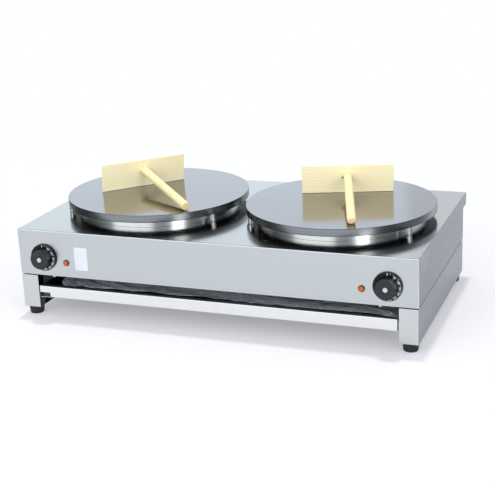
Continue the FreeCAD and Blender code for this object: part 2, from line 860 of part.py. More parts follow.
def make_drawer():
    half = RAIL_FACE - s.drawer_side_gap
    gauge = s.tray_gauge
    outer = span("tray_outer", (-half, half), (TRAY_FRONT, TRAY_REAR), (TRAY_BOTTOM, TRAY_TOP))
    inner = span("tray_inner", (gauge - half, half - gauge),
                 (TRAY_FRONT + gauge, TRAY_REAR - gauge),
                 (TRAY_BOTTOM + gauge, TRAY_TOP + s.overcut))
    finish("drawer_tray", cut("drawer_tray_shape", outer, [inner]))

    body = new_body("drawer_front")
    profile = sketch(body, "YZ_Plane")
    sheet_gauge = s.casing_gauge
    inner_face = FRONT + sheet_gauge
    polygon(profile, [
        (FRONT, DRAWER_FRONT_BOTTOM), (TRAY_FRONT, DRAWER_FRONT_BOTTOM),
        (TRAY_FRONT, DRAWER_FRONT_BOTTOM + sheet_gauge),
        (inner_face, DRAWER_FRONT_BOTTOM + sheet_gauge), (inner_face, TRAY_TOP),
        (FRONT + s.drawer_front_depth, TRAY_TOP),
        (FRONT + s.drawer_front_depth, DRAWER_FRONT_TOP), (FRONT, DRAWER_FRONT_TOP)])
    front_half = BAY_HALF_WIDTH - s.drawer_side_gap
    pad(body, profile, 2 * front_half, both_ways=True)
    corner = sketch(body, "XZ_Plane", -FRONT)
    rectangle(corner, (-front_half - s.overcut, s.notch_width - front_half),
              (DRAWER_FRONT_BOTTOM - s.overcut, DRAWER_FRONT_BOTTOM + s.notch_height))
    pocket(body, corner, s.drawer_front_depth)
    round_edges(body, s.drawer_front_radius,
                lambda edge, middle: near(middle.y, FRONT) and near(middle.z, DRAWER_FRONT_TOP))

    floor = TRAY_BOTTOM + gauge
    finish("tray_liner", span(
        "tray_liner_shape", (s.liner_margin - half, half - gauge - s.seat_clearance),
        (TRAY_FRONT + gauge + s.seat_clearance, TRAY_REAR - s.liner_rear_margin),
        (floor, floor + s.liner_gauge)))


# Griddle plates and heating

def make_griddle_plate(side):
    x, y = plate_centre(side)
    c = s.plate_chamfer
    body = new_body(f"{side}_griddle_plate")
    profile = sketch(body, "XZ_Plane")
    r = s.plate_radius
    t = s.plate_thickness
    polygon(profile, [(0, 0), (r - c, 0), (r, c), (r, t - c), (r - c, t), (0, t)])
    turn(body, profile)
    pins = sketch(body, "XY_Plane")
    for angle in ring_angles(s.post_first_angle, s.post_count):
        px, py = around(Size.of(0), Size.of(0), s.post_circle, angle)
        circle(pins, px, py, s.post_pin_radius + s.seat_clearance)
    cut_up(body, pins, s.post_pin_length + s.rest_clearance)
    studs = sketch(body, "XY_Plane")
    middle = (s.clamp_ring_outer + s.clamp_ring_inner) / 2
    for angle in ring_angles(s.stud_first_angle, Size.of(3)):
        px, py = around(Size.of(0), Size.of(0), middle, angle)
        circle(studs, px, py, s.stud_radius)
    cut_up(body, studs, s.stud_depth)
    place(body, (x, y, PLATE_BOTTOM))


def cut_up(body, profile, depth):
    """Cut from a sketch on the underside upwards into the body."""
    before = body.Shape.Volume
    item = body.newObject("PartDesign::Pocket", body.Label + "_blind_holes")
    item.Profile = profile
    item.Reversed = True
    bind(item, Length=depth)
    doc.recompute()
    if body.Shape.Volume > before - 1e-6:
        raise RuntimeError(f"the holes in {body.Label} cut nothing")


def make_burner_ring(side):
    x, y = plate_centre(side)
    r = s.ring_radius
    g = s.ring_gauge
    inner = r - g
    body = turned(f"{side}_burner_ring", [
        (r - s.ring_flange, 0), (r, 0), (r, s.ring_height), (inner, s.ring_height),
        (inner, g), (r - s.ring_flange, g)])
    round_edges(body, s.ring_edge_radius,
                lambda edge, middle: near(middle.z, s.ring_height)
                and near(math.hypot(middle.x, middle.y), r))
    place(body, (x, y, CASING_TOP))


def make_posts(side):
    posts = []
    for x, y in post_places(side):
        stem = rod(f"{side}_post_stem", (x, y, CASING_TOP), s.post_radius, s.plate_gap)
        pin = rod(f"{side}_post_pin", (x, y, PLATE_BOTTOM), s.post_pin_radius, s.post_pin_length)
        whole = fuse(f"{side}_post_whole", [stem, pin])
        bore = rod(f"{side}_post_bore", (x, y, CASING_TOP - s.overcut), s.post_screw_radius,
                   s.post_screw_depth + s.overcut)
        posts.append(cut(f"{side}_post", whole, [bore]))
    finish(f"{side}_support_posts", group(f"{side}_post_set", posts))


def make_post_screws():
    sizes = (s.post_screw_radius, s.post_screw_head_radius, s.post_screw_head_height,
             s.casing_gauge + s.post_screw_depth)
    screws = [screw("post_screw", (x, y, TOP_UNDERSIDE), sizes)
              for side in SIDES for x, y in post_places(side)]
    finish("post_screws", group("post_screw_set", screws))


ELEMENT_LEVEL = PLATE_BOTTOM - s.element_radius - s.seat_clearance
CLAMP_TOP = ELEMENT_LEVEL - s.element_radius - s.seat_clearance
CLAMP_BOTTOM = CLAMP_TOP - s.clamp_gauge
BULB_LEVEL = PLATE_BOTTOM - s.bulb_radius - s.seat_clearance


def tube(path, radius):
    """A round bar along a wire of tangent lines and arcs."""
    start = path.OrderedEdges[0]
    point = start.valueAt(start.FirstParameter)
    direction = start.tangentAt(start.FirstParameter)
    section = Part.Wire(Part.makeCircle(radius, point, direction))
    return path.makePipeShell([section], True, False)


def arc(centre, start, middle_direction, end):
    """An arc through start and end whose middle lies in a direction from its centre."""
    radius = (start - centre).Length
    middle = centre + middle_direction.normalize() * radius
    return Part.Arc(start, middle, end).toShape()


def make_heating_element(side):
    """Two loops joined by a turn back, whose ends bend down into the casing."""
    sign = SIDES[side]
    x, y = [c.value for c in plate_centre(side)]
    z = ELEMENT_LEVEL.value
    outer = s.element_outer_loop.value
    inner = s.element_inner_loop.value
    gap = math.radians(s.element_gap_angle.value)
    bend = s.element_bend.value
    low = CASING_TOP.value - s.element_leg_drop.value
    up = FreeCAD.Vector(0, 0, 1)
    centre = FreeCAD.Vector(x, y, z)

    def ray(angle):
        """Unit direction, with angle 0 towards the middle of the machine."""
        return FreeCAD.Vector(-sign * math.cos(angle), math.sin(angle), 0)

    def tangent(angle):
        return FreeCAD.Vector(sign * math.sin(angle), math.cos(angle), 0)

    def leg(loop):
        """The bend and the straight end below it, from the loop downwards."""
        top = centre + ray(gap) * loop
        pivot = top - up * bend
        side_point = pivot - tangent(gap) * bend
        curve = arc(pivot, top, up - tangent(gap), side_point)
        foot = FreeCAD.Vector(side_point.x, side_point.y, low)
        return Part.LineSegment(foot, side_point).toShape(), curve

    end = 2 * math.pi - gap
    middle_radius = (outer + inner) / 2
    turn_centre = centre + ray(end) * middle_radius
    outer_leg, outer_bend = leg(outer)
    inner_leg, inner_bend = leg(inner)
    edges = [
        outer_leg, outer_bend,
        arc(centre, centre + ray(gap) * outer, ray(math.pi), centre + ray(end) * outer),
        arc(turn_centre, centre + ray(end) * outer, tangent(end), centre + ray(end) * inner),
        arc(centre, centre + ray(end) * inner, ray(math.pi), centre + ray(gap) * inner),
        inner_bend, inner_leg,
    ]
    path = Part.Wire(Part.sortEdges(edges)[0])
    item = doc.addObject("Part::Feature", f"{side}_element_shape")
    item.Shape = tube(path, s.element_radius.value)
    finish(f"{side}_heating_element", item)


def make_element_clamp(side):
    """A ring with three arms from the middle, which press element and bulb to the plate."""
    x, y = plate_centre(side)
    name = f"{side}_clamp"
    disc = rod(name + "_disc", (x, y, CLAMP_BOTTOM), s.clamp_ring_outer, s.clamp_gauge)
    low = CLAMP_BOTTOM - s.overcut
    through = s.clamp_gauge + 2 * s.overcut
    eye = rod(name + "_eye", (x, y, low), s.clamp_ring_inner, through)
    pieces = [cut(name + "_ring", disc, [eye])]
    for angle in ring_angles(s.stud_first_angle, Size.of(3)):
        arm = doc.addObject("Part::Box", name + "_arm")
        bind(arm, Length=s.clamp_arm_outer, Width=s.clamp_arm_width, Height=s.clamp_gauge)
        corner = (x + s.clamp_arm_width / 2 * sine(angle),
                  y - s.clamp_arm_width / 2 * cosine(angle), CLAMP_BOTTOM)
        place(arm, corner, FreeCAD.Rotation(FreeCAD.Vector(0, 0, 1), angle.value))
        pieces.append(arm)
    plate = fuse(name + "_plate", pieces)
    holes = [rod(name + "_hole", (px, py, low), s.stud_radius + s.hole_clearance, through)
             for px, py in stud_places(side)]
    finish(f"{side}_element_clamp", cut(name + "_shape", plate, holes))


def make_clamp_fasteners():
    studs = []
    nuts = []
    nut_bottom = CLAMP_BOTTOM - s.clamp_nut_height
    stud_bottom = nut_bottom - s.rest_clearance
    for side in SIDES:
        for x, y in stud_places(side):
            studs.append(rod("clamp_stud", (x, y, stud_bottom), s.stud_radius,
                             PLATE_BOTTOM + s.stud_depth - stud_bottom))
            nut = hexagon("clamp_nut_blank", (x, y, nut_bottom), s.clamp_nut_width,
                          s.clamp_nut_height)
            thread = rod("clamp_nut_thread", (x, y, nut_bottom - s.overcut), s.stud_radius,
                         s.clamp_nut_height + 2 * s.overcut)
            nuts.append(cut("clamp_nut", nut, [thread]))
    finish("clamp_studs", group("clamp_stud_set", studs))
    finish("clamp_nuts", group("clamp_nut_set", nuts))


def make_heat_shield(side):
    x, y = plate_centre(side)
    disc = rod(f"{side}_shield_disc", (x, y, CASING_TOP), s.shield_radius, s.shield_gauge)
    z = CASING_TOP - s.overcut
    height = s.shield_gauge + 2 * s.overcut
    holes = [rod(f"{side}_shield_leg_hole", (px, py, z), s.element_hole_radius, height)
             for px, py in element_leg_places(side)]
    cx, cy = capillary_place(side)
    holes.append(rod(f"{side}_shield_capillary_hole", (cx, cy, z), s.capillary_hole_radius,
                     height))
    finish(f"{side}_heat_shield", cut(f"{side}_shield_shape", disc, holes))


def rounded_path(points, radii):
    """A wire through points, with a tangent arc of its own radius at each inner one."""
    edges = []
    start = points[0]
    for before, corner, after, radius in zip(points, points[1:], points[2:], radii):
        back = (before - corner).normalize()
        ahead = (after - corner).normalize()
        half = back.getAngle(ahead) / 2
        cut_back = radius / math.tan(half)
        bisector = (back + ahead).normalize()
        centre = corner + bisector * (radius / math.sin(half))
        first = corner + back * cut_back
        last = corner + ahead * cut_back
        edges.append(Part.LineSegment(start, first).toShape())
        edges.append(Part.Arc(first, centre - bisector * radius, last).toShape())
        start = last
    edges.append(Part.LineSegment(start, points[-1]).toShape())
    return Part.Wire(edges)


def make_sensor(side):
    """The sensing bulb under the plate and the thin tube from it to the thermostat."""
    sign = SIDES[side]
    x, y = plate_centre(side)
    half = s.bulb_length / 2
    drop_x, drop_y = capillary_place(side)
    thermostat_rear = FRONT + s.casing_gauge + s.thermostat_depth
    side_way = (drop_y + thermostat_rear) / 2
    places = [
        (x + sign * half, y, BULB_LEVEL),
        (drop_x, drop_y, BULB_LEVEL),
        (drop_x, drop_y, KNOB_LEVEL),
        (sign * KNOB_X, side_way, KNOB_LEVEL),
        (sign * KNOB_X, thermostat_rear, KNOB_LEVEL),
    ]
    points = [FreeCAD.Vector(*[c.value for c in p]) for p in places]
    bends = [s.capillary_top_bend, s.capillary_drop_bend, s.capillary_side_bend]
    path = rounded_path(points, [bend.value for bend in bends])
    capillary = tube(path, s.capillary_radius.value)
    start = points[0] - FreeCAD.Vector(sign * s.bulb_length.value, 0, 0)
    bulb = Part.makeCylinder(s.bulb_radius.value, s.bulb_length.value, start,
                             FreeCAD.Vector(sign, 0, 0))
    item = doc.addObject("Part::Feature", f"{side}_sensor_shape")
    item.Shape = bulb.fuse(capillary).removeSplitter()
    finish(f"{side}_sensor_bulb", item)


# Controls

def make_thermostat(side):
    x = SIDES[side] * KNOB_X
    name = f"{side}_thermostat"
    rear_face = FRONT + s.casing_gauge
    half_width = s.thermostat_width / 2
    half_height = s.thermostat_height / 2
    case = span(name + "_case", (x - half_width, x + half_width),
                (rear_face, rear_face + s.thermostat_depth),
                (KNOB_LEVEL - half_height, KNOB_LEVEL + half_height))
    bush = rod(name + "_bush", (x, rear_face, KNOB_LEVEL), s.bush_radius, s.bush_length,
               "forward")
    depth = s.thermostat_bore
    bore = rod(name + "_bore", (x, rear_face + depth, KNOB_LEVEL),
               s.spindle_radius + s.running_clearance, depth + s.bush_length + s.overcut, "forward")
    tools = [bore]
    for end in (-0.5, 0.5):
        place_x = x + end * s.thermostat_screw_spacing
        tools.append(rod(name + "_screw_hole", (place_x, rear_face + s.screw_grip, KNOB_LEVEL),
                         s.screw_radius, s.screw_grip + s.overcut, "forward"))
    finish(name, cut(name + "_shape", fuse(name + "_whole", [case, bush]), tools))


def make_thermostat_screws():
    sizes = (s.screw_radius, s.screw_head_radius, s.screw_head_height,
             s.casing_gauge + s.screw_grip)
    screws = [screw("thermostat_screw",
                    (sign * KNOB_X + end * s.thermostat_screw_spacing, FRONT, KNOB_LEVEL),
                    sizes, axis="back")
              for sign in SIDES.values() for end in (-0.5, 0.5)]
    finish("thermostat_screws", group("thermostat_screw_set", screws))


def make_knob(side):
    """Dial and cap are turned about their own Z axis, which points out of the panel."""
    centre = (SIDES[side] * KNOB_X, FRONT, KNOB_LEVEL)
    low = s.knob_gap
    high = low + s.dial_thickness
    r = s.dial_radius
    dial = turned(f"{side}_knob_dial", [
        (s.dial_hole_radius, high - s.dial_face_gauge),
        (s.dial_cavity_radius, high - s.dial_face_gauge), (s.dial_cavity_radius, low),
        (r, low), (r, high - s.dial_bevel), (r - s.dial_bevel, high),
        (s.dial_hole_radius, high)])
    place(dial, centre, AXES["forward"])

    top = high + s.cap_height
    socket_end = high + s.cap_socket_depth
    cap = turned(f"{side}_knob_cap", [
        (s.spindle_radius, high), (s.cap_radius, high),
        (s.cap_front_radius, top - s.cap_bevel), (s.cap_front_radius - s.cap_bevel, top),
        (s.cap_dimple_radius, top), (s.cap_dimple_radius - s.cap_dimple_depth,
                                     top - s.cap_dimple_depth),
        (0, top - s.cap_dimple_depth), (0, socket_end), (s.spindle_radius, socket_end)])
    pointer = sketch(cap, "XY_Plane", top, turn=s.pointer_angle)
    rectangle(pointer, (s.pointer_distance, s.cap_radius + s.overcut),
              (-s.cap_radius, s.cap_radius))
    pocket(cap, pointer, s.pointer_depth)
    place(cap, centre, AXES["forward"])

    inner_end = FRONT + s.casing_gauge + s.thermostat_bore - s.rest_clearance
    length = inner_end - FRONT + socket_end
    spindle = rod(f"{side}_spindle_shape", (centre[0], inner_end, KNOB_LEVEL),
                  s.spindle_radius, length, "forward")
    finish(f"{side}_spindle", spindle)


def make_lamp(side):
    x = SIDES[side] * LAMP_X
    z = CASING_BOTTOM + s.lamp_level
    dome_top = s.lens_flange + s.lens_dome_height
    lens = turned(f"{side}_lamp_lens", [
        (0, 0), (s.lens_radius, 0), (s.lens_radius, s.lens_flange),
        (s.lens_dome_radius, s.lens_flange), (s.lens_dome_radius, dome_top), (0, dome_top)])
    round_edges(lens, s.lens_dome_round,
                lambda edge, middle: near(middle.z, dome_top)
                and near(math.hypot(middle.x, middle.y), s.lens_dome_radius))
    place(lens, (x, FRONT, z), AXES["forward"])

    name = f"{side}_lamp_body"
    end = FRONT + s.lamp_body_length
    pieces = [
        rod(name + "_barrel", (x, FRONT, z), s.lamp_body_radius, s.lamp_body_length, "back"),
        rod(name + "_collar", (x, FRONT + s.casing_gauge, z), s.lamp_collar_radius,
            s.lamp_collar_height, "back"),
    ]
    for offset in (-s.lamp_body_radius / 2, s.lamp_body_radius / 2):
        pieces.append(span(name + "_tab", (x + offset - s.lamp_tab_gauge / 2,
                                           x + offset + s.lamp_tab_gauge / 2),
                           (end - 1, end + s.lamp_tab_length),
                           (z - s.lamp_tab_width / 2, z + s.lamp_tab_width / 2)))
    finish(name, fuse(name + "_shape", pieces))


# Mains connection

def make_mains_connection():
    x = GLAND_X
    z = GLAND_LEVEL
    inner_rear = CASING_REAR - s.casing_gauge
    thread_start = CASING_REAR - s.gland_thread_length
    flange = hexagon("gland_flange", (x, CASING_REAR, z), s.gland_flange_width,
                     s.gland_flange_height, "back")
    dome = rod("gland_dome", (x, CASING_REAR + s.gland_flange_height, z), s.gland_dome_radius,
               s.gland_dome_length, "back")
    thread = rod("gland_thread", (x, thread_start, z), s.gland_thread_radius,
                 s.gland_thread_length, "back")
    length = s.gland_thread_length + s.gland_flange_height + s.gland_dome_length
    bore = rod("gland_bore", (x, thread_start - s.overcut, z), s.gland_bore_radius,
               length + 2 * s.overcut, "back")
    finish("cable_gland", cut("cable_gland_shape", fuse("gland_whole", [flange, dome, thread]),
                              [bore]))

    nut_start = inner_rear - s.gland_nut_height
    nut = hexagon("gland_nut_blank", (x, nut_start, z), s.gland_nut_width, s.gland_nut_height,
                  "back")
    nut_bore = rod("gland_nut_bore", (x, nut_start - s.overcut, z), s.gland_thread_radius,
                   s.gland_nut_height + 2 * s.overcut, "back")
    finish("gland_nut", cut("gland_nut_shape", nut, [nut_bore]))

    head = hexagon("earth_head", (EARTH_X, inner_rear - s.earth_head_height, z),
                   s.earth_head_width, s.earth_head_height, "back")
    stem = rod("earth_stem", (EARTH_X, inner_rear, z), s.earth_radius,
               s.casing_gauge + s.earth_length, "back")
    finish("earth_stud", fuse("earth_stud_shape", [head, stem]))

    y = CASING_REAR - s.terminal_setback
    block = span("terminal_case", (x - s.terminal_width / 2, x + s.terminal_width / 2),
                 (y - s.terminal_depth / 2, y + s.terminal_depth / 2),
                 (CASING_BOTTOM, CASING_BOTTOM + s.terminal_height))
    top = CASING_BOTTOM + s.terminal_height
    holes = [rod("terminal_hole", (x + place_along * s.terminal_pitch, y,
                                   top - s.terminal_hole_depth),
                 s.terminal_hole_radius, s.terminal_hole_depth + s.overcut)
             for place_along in (-2, -1, 0, 1, 2)]
    finish("terminal_block", cut("terminal_block_shape", block, holes))


# Batter spreaders

def spreader_tilt(end_round):
    """How far the handle slopes, so that its end and the board's edge both touch down."""
    rise = s.handle_level.value - s.handle_radius.value + end_round.value
    reach = s.handle_length.value - end_round.value
    return math.acos(end_round.value / math.hypot(rise, reach)) - math.atan2(reach, rise)


def make_spreader(side):
    """A board on its long edge, with a round handle that slopes down to the plate.

    In its own frame the board's front lower edge lies on the X axis and the
    handle points along -Y.
    """
    end_round = getattr(s, f"{side}_handle_round")
    x, y = plate_centre(side)
    base = FreeCAD.Vector((x + getattr(s, f"{side}_spreader_offset_x")).value,
                          (y + getattr(s, f"{side}_spreader_offset_y")).value,
                          (PLATE_TOP + s.rest_clearance).value)
    yaw = FreeCAD.Rotation(FreeCAD.Vector(0, 0, 1), getattr(s, f"{side}_spreader_angle").value)
    tilt = FreeCAD.Rotation(FreeCAD.Vector(1, 0, 0), math.degrees(spreader_tilt(end_round)))
    pose = FreeCAD.Placement(base, yaw.multiply(tilt))

    board = new_body(f"{side}_spreader_board")
    face = sketch(board, "XZ_Plane")
    half = s.board_length / 2
    rectangle(face, (-half, half), (0, s.board_height))
    circle(face, 0, s.handle_level, s.handle_tenon_radius)
    pad(board, face, s.board_thickness, backwards=True)
    board.Placement = pose

    handle = turned(f"{side}_spreader_handle", [
        (0, -s.board_thickness), (s.handle_tenon_radius, -s.board_thickness),
        (s.handle_tenon_radius, 0), (s.handle_radius, 0), (s.handle_radius, s.handle_length),
        (0, s.handle_length)])
    round_edges(handle, end_round,
                lambda edge, middle: near(middle.z, s.handle_length)
                and near(math.hypot(middle.x, middle.y), s.handle_radius))
    root = FreeCAD.Placement(FreeCAD.Vector(0, 0, s.handle_level.value), AXES["forward"])
    handle.Placement = pose.multiply(root)


def build():
    make_top_panel()
    make_front_panel()
    make_rear_panel()
    make_rear_hood()
    make_bottom_cover()
    make_label()
    make_base_rear_panel()
    for name, position in foot_places():
        make_foot(name, position)
    for side in SIDES:
        make_side_panel(side)
        make_base_side(side)
        make_rail(side)
        make_griddle_plate(side)
        make_burner_ring(side)
        make_posts(side)
        make_heat_shield(side)
        make_heating_element(side)
        make_element_clamp(side)
        make_sensor(side)
        make_thermostat(side)
        make_knob(side)
        make_lamp(side)
        make_spreader(side)
    make_drawer()
    make_mains_connection()
    make_casing_screws()
    make_foot_screws()
    make_post_screws()
    make_clamp_fasteners()
    make_thermostat_screws()
    doc.recompute()


def check():
    """Stop if any object failed or any sub-part has no valid shape."""
    for item in doc.Objects:
        if {"Invalid", "Error"} & set(item.State):
            raise RuntimeError(f"{item.Label} failed: {item.State}")
    for name, item in nodes.items():
        if item.Shape.isNull() or not item.Shape.isValid() or not item.Shape.Solids:
            raise RuntimeError(f"{name} has no valid solid")


def write():
    os.makedirs("parts", exist_ok=True)
    for name, item in nodes.items():
        item.Shape.exportStep(f"parts/{name}.step")


build()
check()
write()
print(f"{len(nodes)} sub-parts written")
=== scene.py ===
"""Looks of an electric crepe maker with two round griddle plates, built around its solids.

Sizes in the classes are millimetres, and every mesh goes in in metres, in the frame of the
solids: X to the right, Y to the rear, Z up from the floor, the origin below the middle.
"""

import logging
import math
from abc import ABC, abstractmethod
from collections.abc import Sequence
from dataclasses import dataclass
from enum import Enum
from functools import cache

import bmesh
import bpy
import numpy as np
from mathutils import Matrix, Vector


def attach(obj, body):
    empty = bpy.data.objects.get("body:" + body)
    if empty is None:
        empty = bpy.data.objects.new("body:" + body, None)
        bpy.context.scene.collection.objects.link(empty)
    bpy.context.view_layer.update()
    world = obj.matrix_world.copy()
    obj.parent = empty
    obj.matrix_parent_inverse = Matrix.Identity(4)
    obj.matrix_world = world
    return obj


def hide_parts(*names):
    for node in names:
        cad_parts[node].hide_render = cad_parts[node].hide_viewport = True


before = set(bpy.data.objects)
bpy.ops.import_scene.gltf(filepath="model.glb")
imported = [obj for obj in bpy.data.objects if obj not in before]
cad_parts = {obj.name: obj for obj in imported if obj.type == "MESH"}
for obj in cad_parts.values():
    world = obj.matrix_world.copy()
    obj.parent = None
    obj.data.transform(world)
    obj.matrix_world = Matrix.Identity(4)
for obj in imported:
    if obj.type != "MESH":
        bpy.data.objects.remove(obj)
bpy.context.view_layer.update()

LOG = logging.getLogger("crepe_maker")
MM = 0.001
Array = np.ndarray
Pair = tuple[float, float]
Point = tuple[float, float, float]
Colour = tuple[float, float, float]
Piece = bpy.types.Object
Material = bpy.types.Material
Tree = bpy.types.NodeTree
Socket = bpy.types.NodeSocket
Sockets = bpy.types.bpy_prop_collection
ORIGIN: Point = (0.0, 0.0, 0.0)
BLACK: Colour = (0.0, 0.0, 0.0)
WHITE: Colour = (1.0, 1.0, 1.0)


class Side(Enum):
    """The two halves of the machine, with their direction along X."""

    LEFT = -1
    RIGHT = 1

    @property
    def label(self) -> str:
        """The word that names this side's nodes and bodies."""
        return self.name.lower()


class Brushing(Enum):
    """Which way the fine lines of a brushed sheet run, as a stretch of its pattern."""

    ALONG_X = (2.5, 900.0, 900.0)
    ALONG_Y = (900.0, 2.5, 900.0)
    ALONG_Z = (900.0, 900.0, 2.5)


# Shapes


@dataclass(frozen=True)
class Patch:
    """A surface as a grid of points, rows by columns by three.

    Rows follow one parameter and columns the other. Where filled is set, the last column
    repeats the first, and the first and last ring of points get a face of their own.
    """

    points: Array
    filled: bool = True


@dataclass(frozen=True)
class Placement:
    """Where a piece's own frame stands in the machine: first the turn, then the shift."""

    shift: Point
    turn: Matrix | None = None

    def of(self, points: Array) -> Array:
        """Return the points in the machine's frame."""
        turned = points if self.turn is None else points @ np.array(self.turn).T
        return turned + np.array(self.shift)


def arc(centre: Pair, radius: float, start: float, end: float, steps: int = 6) -> Array:
    """Points on a circle's arc.

    Each point is the centre plus the radius times (cosine, sine) of an angle that goes evenly
    from start to end.

    Args:
        centre: Middle of the circle.
        radius: Its radius.
        start: First angle in degrees.
        end: Last angle in degrees.
        steps: Number of straight pieces.

    Returns:
        The points, steps + 1 by 2.
    """
    angle = np.radians(np.linspace(start, end, steps + 1))
    return np.array(centre) + radius * np.stack([np.cos(angle), np.sin(angle)], axis=-1)


def rounded_line(corners: Sequence[Pair], radii: Sequence[float], steps: int = 5) -> Array:
    """A line through corners whose inner corners are arcs.

    Each arc touches both runs of its corner: it starts and ends at radius / tan(half the
    corner's angle) from it, and its middle lies on the line that halves the angle.

    Args:
        corners: The corners in order.
        radii: One radius for each corner between the first and the last.
        steps: Straight pieces in each arc.

    Returns:
        The points of the line.
    """
    points = np.array(corners, float)
    parts = [points[:1]]
    for before, corner, after, radius in zip(points, points[1:], points[2:], radii):
        if radius <= 0:
            parts.append(corner[None])
            continue
        back = (before - corner) / np.linalg.norm(before - corner)
        ahead = (after - corner) / np.linalg.norm(after - corner)
        half = math.acos(np.clip(back @ ahead, -1, 1)) / 2
        middle = corner + (back + ahead) / np.linalg.norm(back + ahead) * radius / math.sin(half)
        reach = radius / math.tan(half)
        start = corner + back * reach - middle
        end = corner + ahead * reach - middle
        first = math.atan2(start[1], start[0])
        sweep = (math.atan2(end[1], end[0]) - first + math.pi) % (2 * math.pi) - math.pi
        parts.append(arc(tuple(middle), radius, math.degrees(first),
                         math.degrees(first + sweep), steps))
    parts.append(points[-1:])
    return np.concatenate(parts)


def miters(line: Array) -> Array:
    """How far each point of a line moves when the line is shifted one unit to its left.

    A point between two runs moves along the sum of their left normals, by one over the cosine
    of half the bend.

    Args:
        line: The line, points by 2.

    Returns:
        The moves, points by 2.
    """
    run = np.diff(line, axis=0)
    run /= np.linalg.norm(run, axis=1, keepdims=True)
    normal = np.stack([-run[:, 1], run[:, 0]], axis=-1)
    joined = np.concatenate([normal[:1], normal[:-1] + normal[1:], normal[-1:]])
    joined /= np.linalg.norm(joined, axis=1, keepdims=True)
    stretch = np.concatenate([[1.0], np.sum(joined[1:-1] * normal[1:], axis=1), [1.0]])
    return joined / stretch[:, None]


def sheet_outline(line: Array, gauge: float) -> Array:
    """The closed outline of a sheet: its outer face out, and the face moved left back."""
    return np.concatenate([line, (line + miters(line) * gauge)[::-1]])


def wall(line: Array, outline: Array) -> Patch:
    """An upright closed outline carried along a line in plan.

    Each point is the line's point, moved to the line's left by the outline's depth, at the
    outline's height.

    Args:
        line: The outer face in plan, points by 2.
        outline: Points by 2, each a depth and a height.

    Returns:
        The surface, with both ends filled.
    """
    ring = np.concatenate([outline, outline[:1]])
    points = np.empty((len(line), len(ring), 3))
    points[:, :, :2] = line[:, None, :] + miters(line)[:, None, :] * ring[None, :, :1]
    points[:, :, 2] = ring[:, 1]
    return Patch(points)


def extruded(outline: Array, plane: str, low: float, high: float) -> Patch:
    """A closed outline carried along a straight path.

    Args:
        outline: Points by 2, in the two axes that plane names.
        plane: Two letters such as "yz". The path runs along the third axis.
        low: Where the path starts.
        high: Where it ends.

    Returns:
        The surface, with both ends filled.
    """
    ring = np.concatenate([outline, outline[:1]])
    across = ["xyz".index(letter) for letter in plane]
    points = np.empty((2, len(ring), 3))
    points[:, :, across] = ring
    points[:, :, 3 - sum(across)] = np.array([[low], [high]])
    return Patch(points)


def revolved(profile: Array, steps: int) -> Patch:
    """A profile carried round the Z axis.

    The point at an angle is (radius cos angle, radius sin angle, height).

    Args:
        profile: Points by 2, each a radius and a height.
        steps: Number of straight pieces in a turn.

    Returns:
        The surface. Its ends are filled, unless the profile is a closed ring.
    """
    angle = np.radians(np.linspace(0, 360, steps + 1))
    radius = np.repeat(profile[:, :1], steps + 1, axis=1)
    height = np.repeat(profile[:, 1:], steps + 1, axis=1)
    points = np.stack([radius * np.cos(angle), radius * np.sin(angle), height], axis=-1)
    return Patch(points, not np.array_equal(profile[0], profile[-1]))


def rounded_block(half: Point, radius: float, steps: int = 4) -> Patch:
    """A block with round edges, centred on its own origin.

    Each point of a ball of the edge radius is pushed out by the rest of the block's half
    sizes, with the signs of the eighth of the ball that it lies in.

    Args:
        half: Half sizes of the block.
        radius: Radius of its edges.
        steps: Straight pieces in each quarter turn.

    Returns:
        The surface.
    """
    quarter = np.linspace(0, 90, steps + 1)
    turn = np.radians(np.concatenate([quarter + 90 * k for k in range(4)] + [[360.0]]))
    sign_x = np.append(np.repeat([1, -1, -1, 1], steps + 1), 1)
    sign_y = np.append(np.repeat([1, 1, -1, -1], steps + 1), 1)
    rise = np.radians(np.concatenate([quarter - 90, quarter]))[:, None]
    sign_z = np.repeat([-1, 1], steps + 1)[:, None]
    core = np.array(half) - radius
    x = radius * np.cos(rise) * np.cos(turn) + sign_x * core[0]
    y = radius * np.cos(rise) * np.sin(turn) + sign_y * core[1]
    z = radius * np.sin(rise) + sign_z * core[2] + 0 * turn
    return Patch(np.stack([x, y, z], axis=-1))


def moved(patch: Patch, shift: Point) -> Patch:
    """Return the patch with all of its points shifted."""
    return Patch(patch.points + np.array(shift), patch.filled)


def close_mesh(mesh: bpy.types.Mesh) -> None:
    """Merge points that meet and turn every face outwards."""
    shape = bmesh.new()
    shape.from_mesh(mesh)
    bmesh.ops.remove_doubles(shape, verts=shape.verts, dist=1e-6)
    bmesh.ops.dissolve_degenerate(shape, dist=1e-7, edges=shape.edges)
    bmesh.ops.recalc_face_normals(shape, faces=shape.faces)
    shape.to_mesh(mesh)
    shape.free()
    mesh.update()


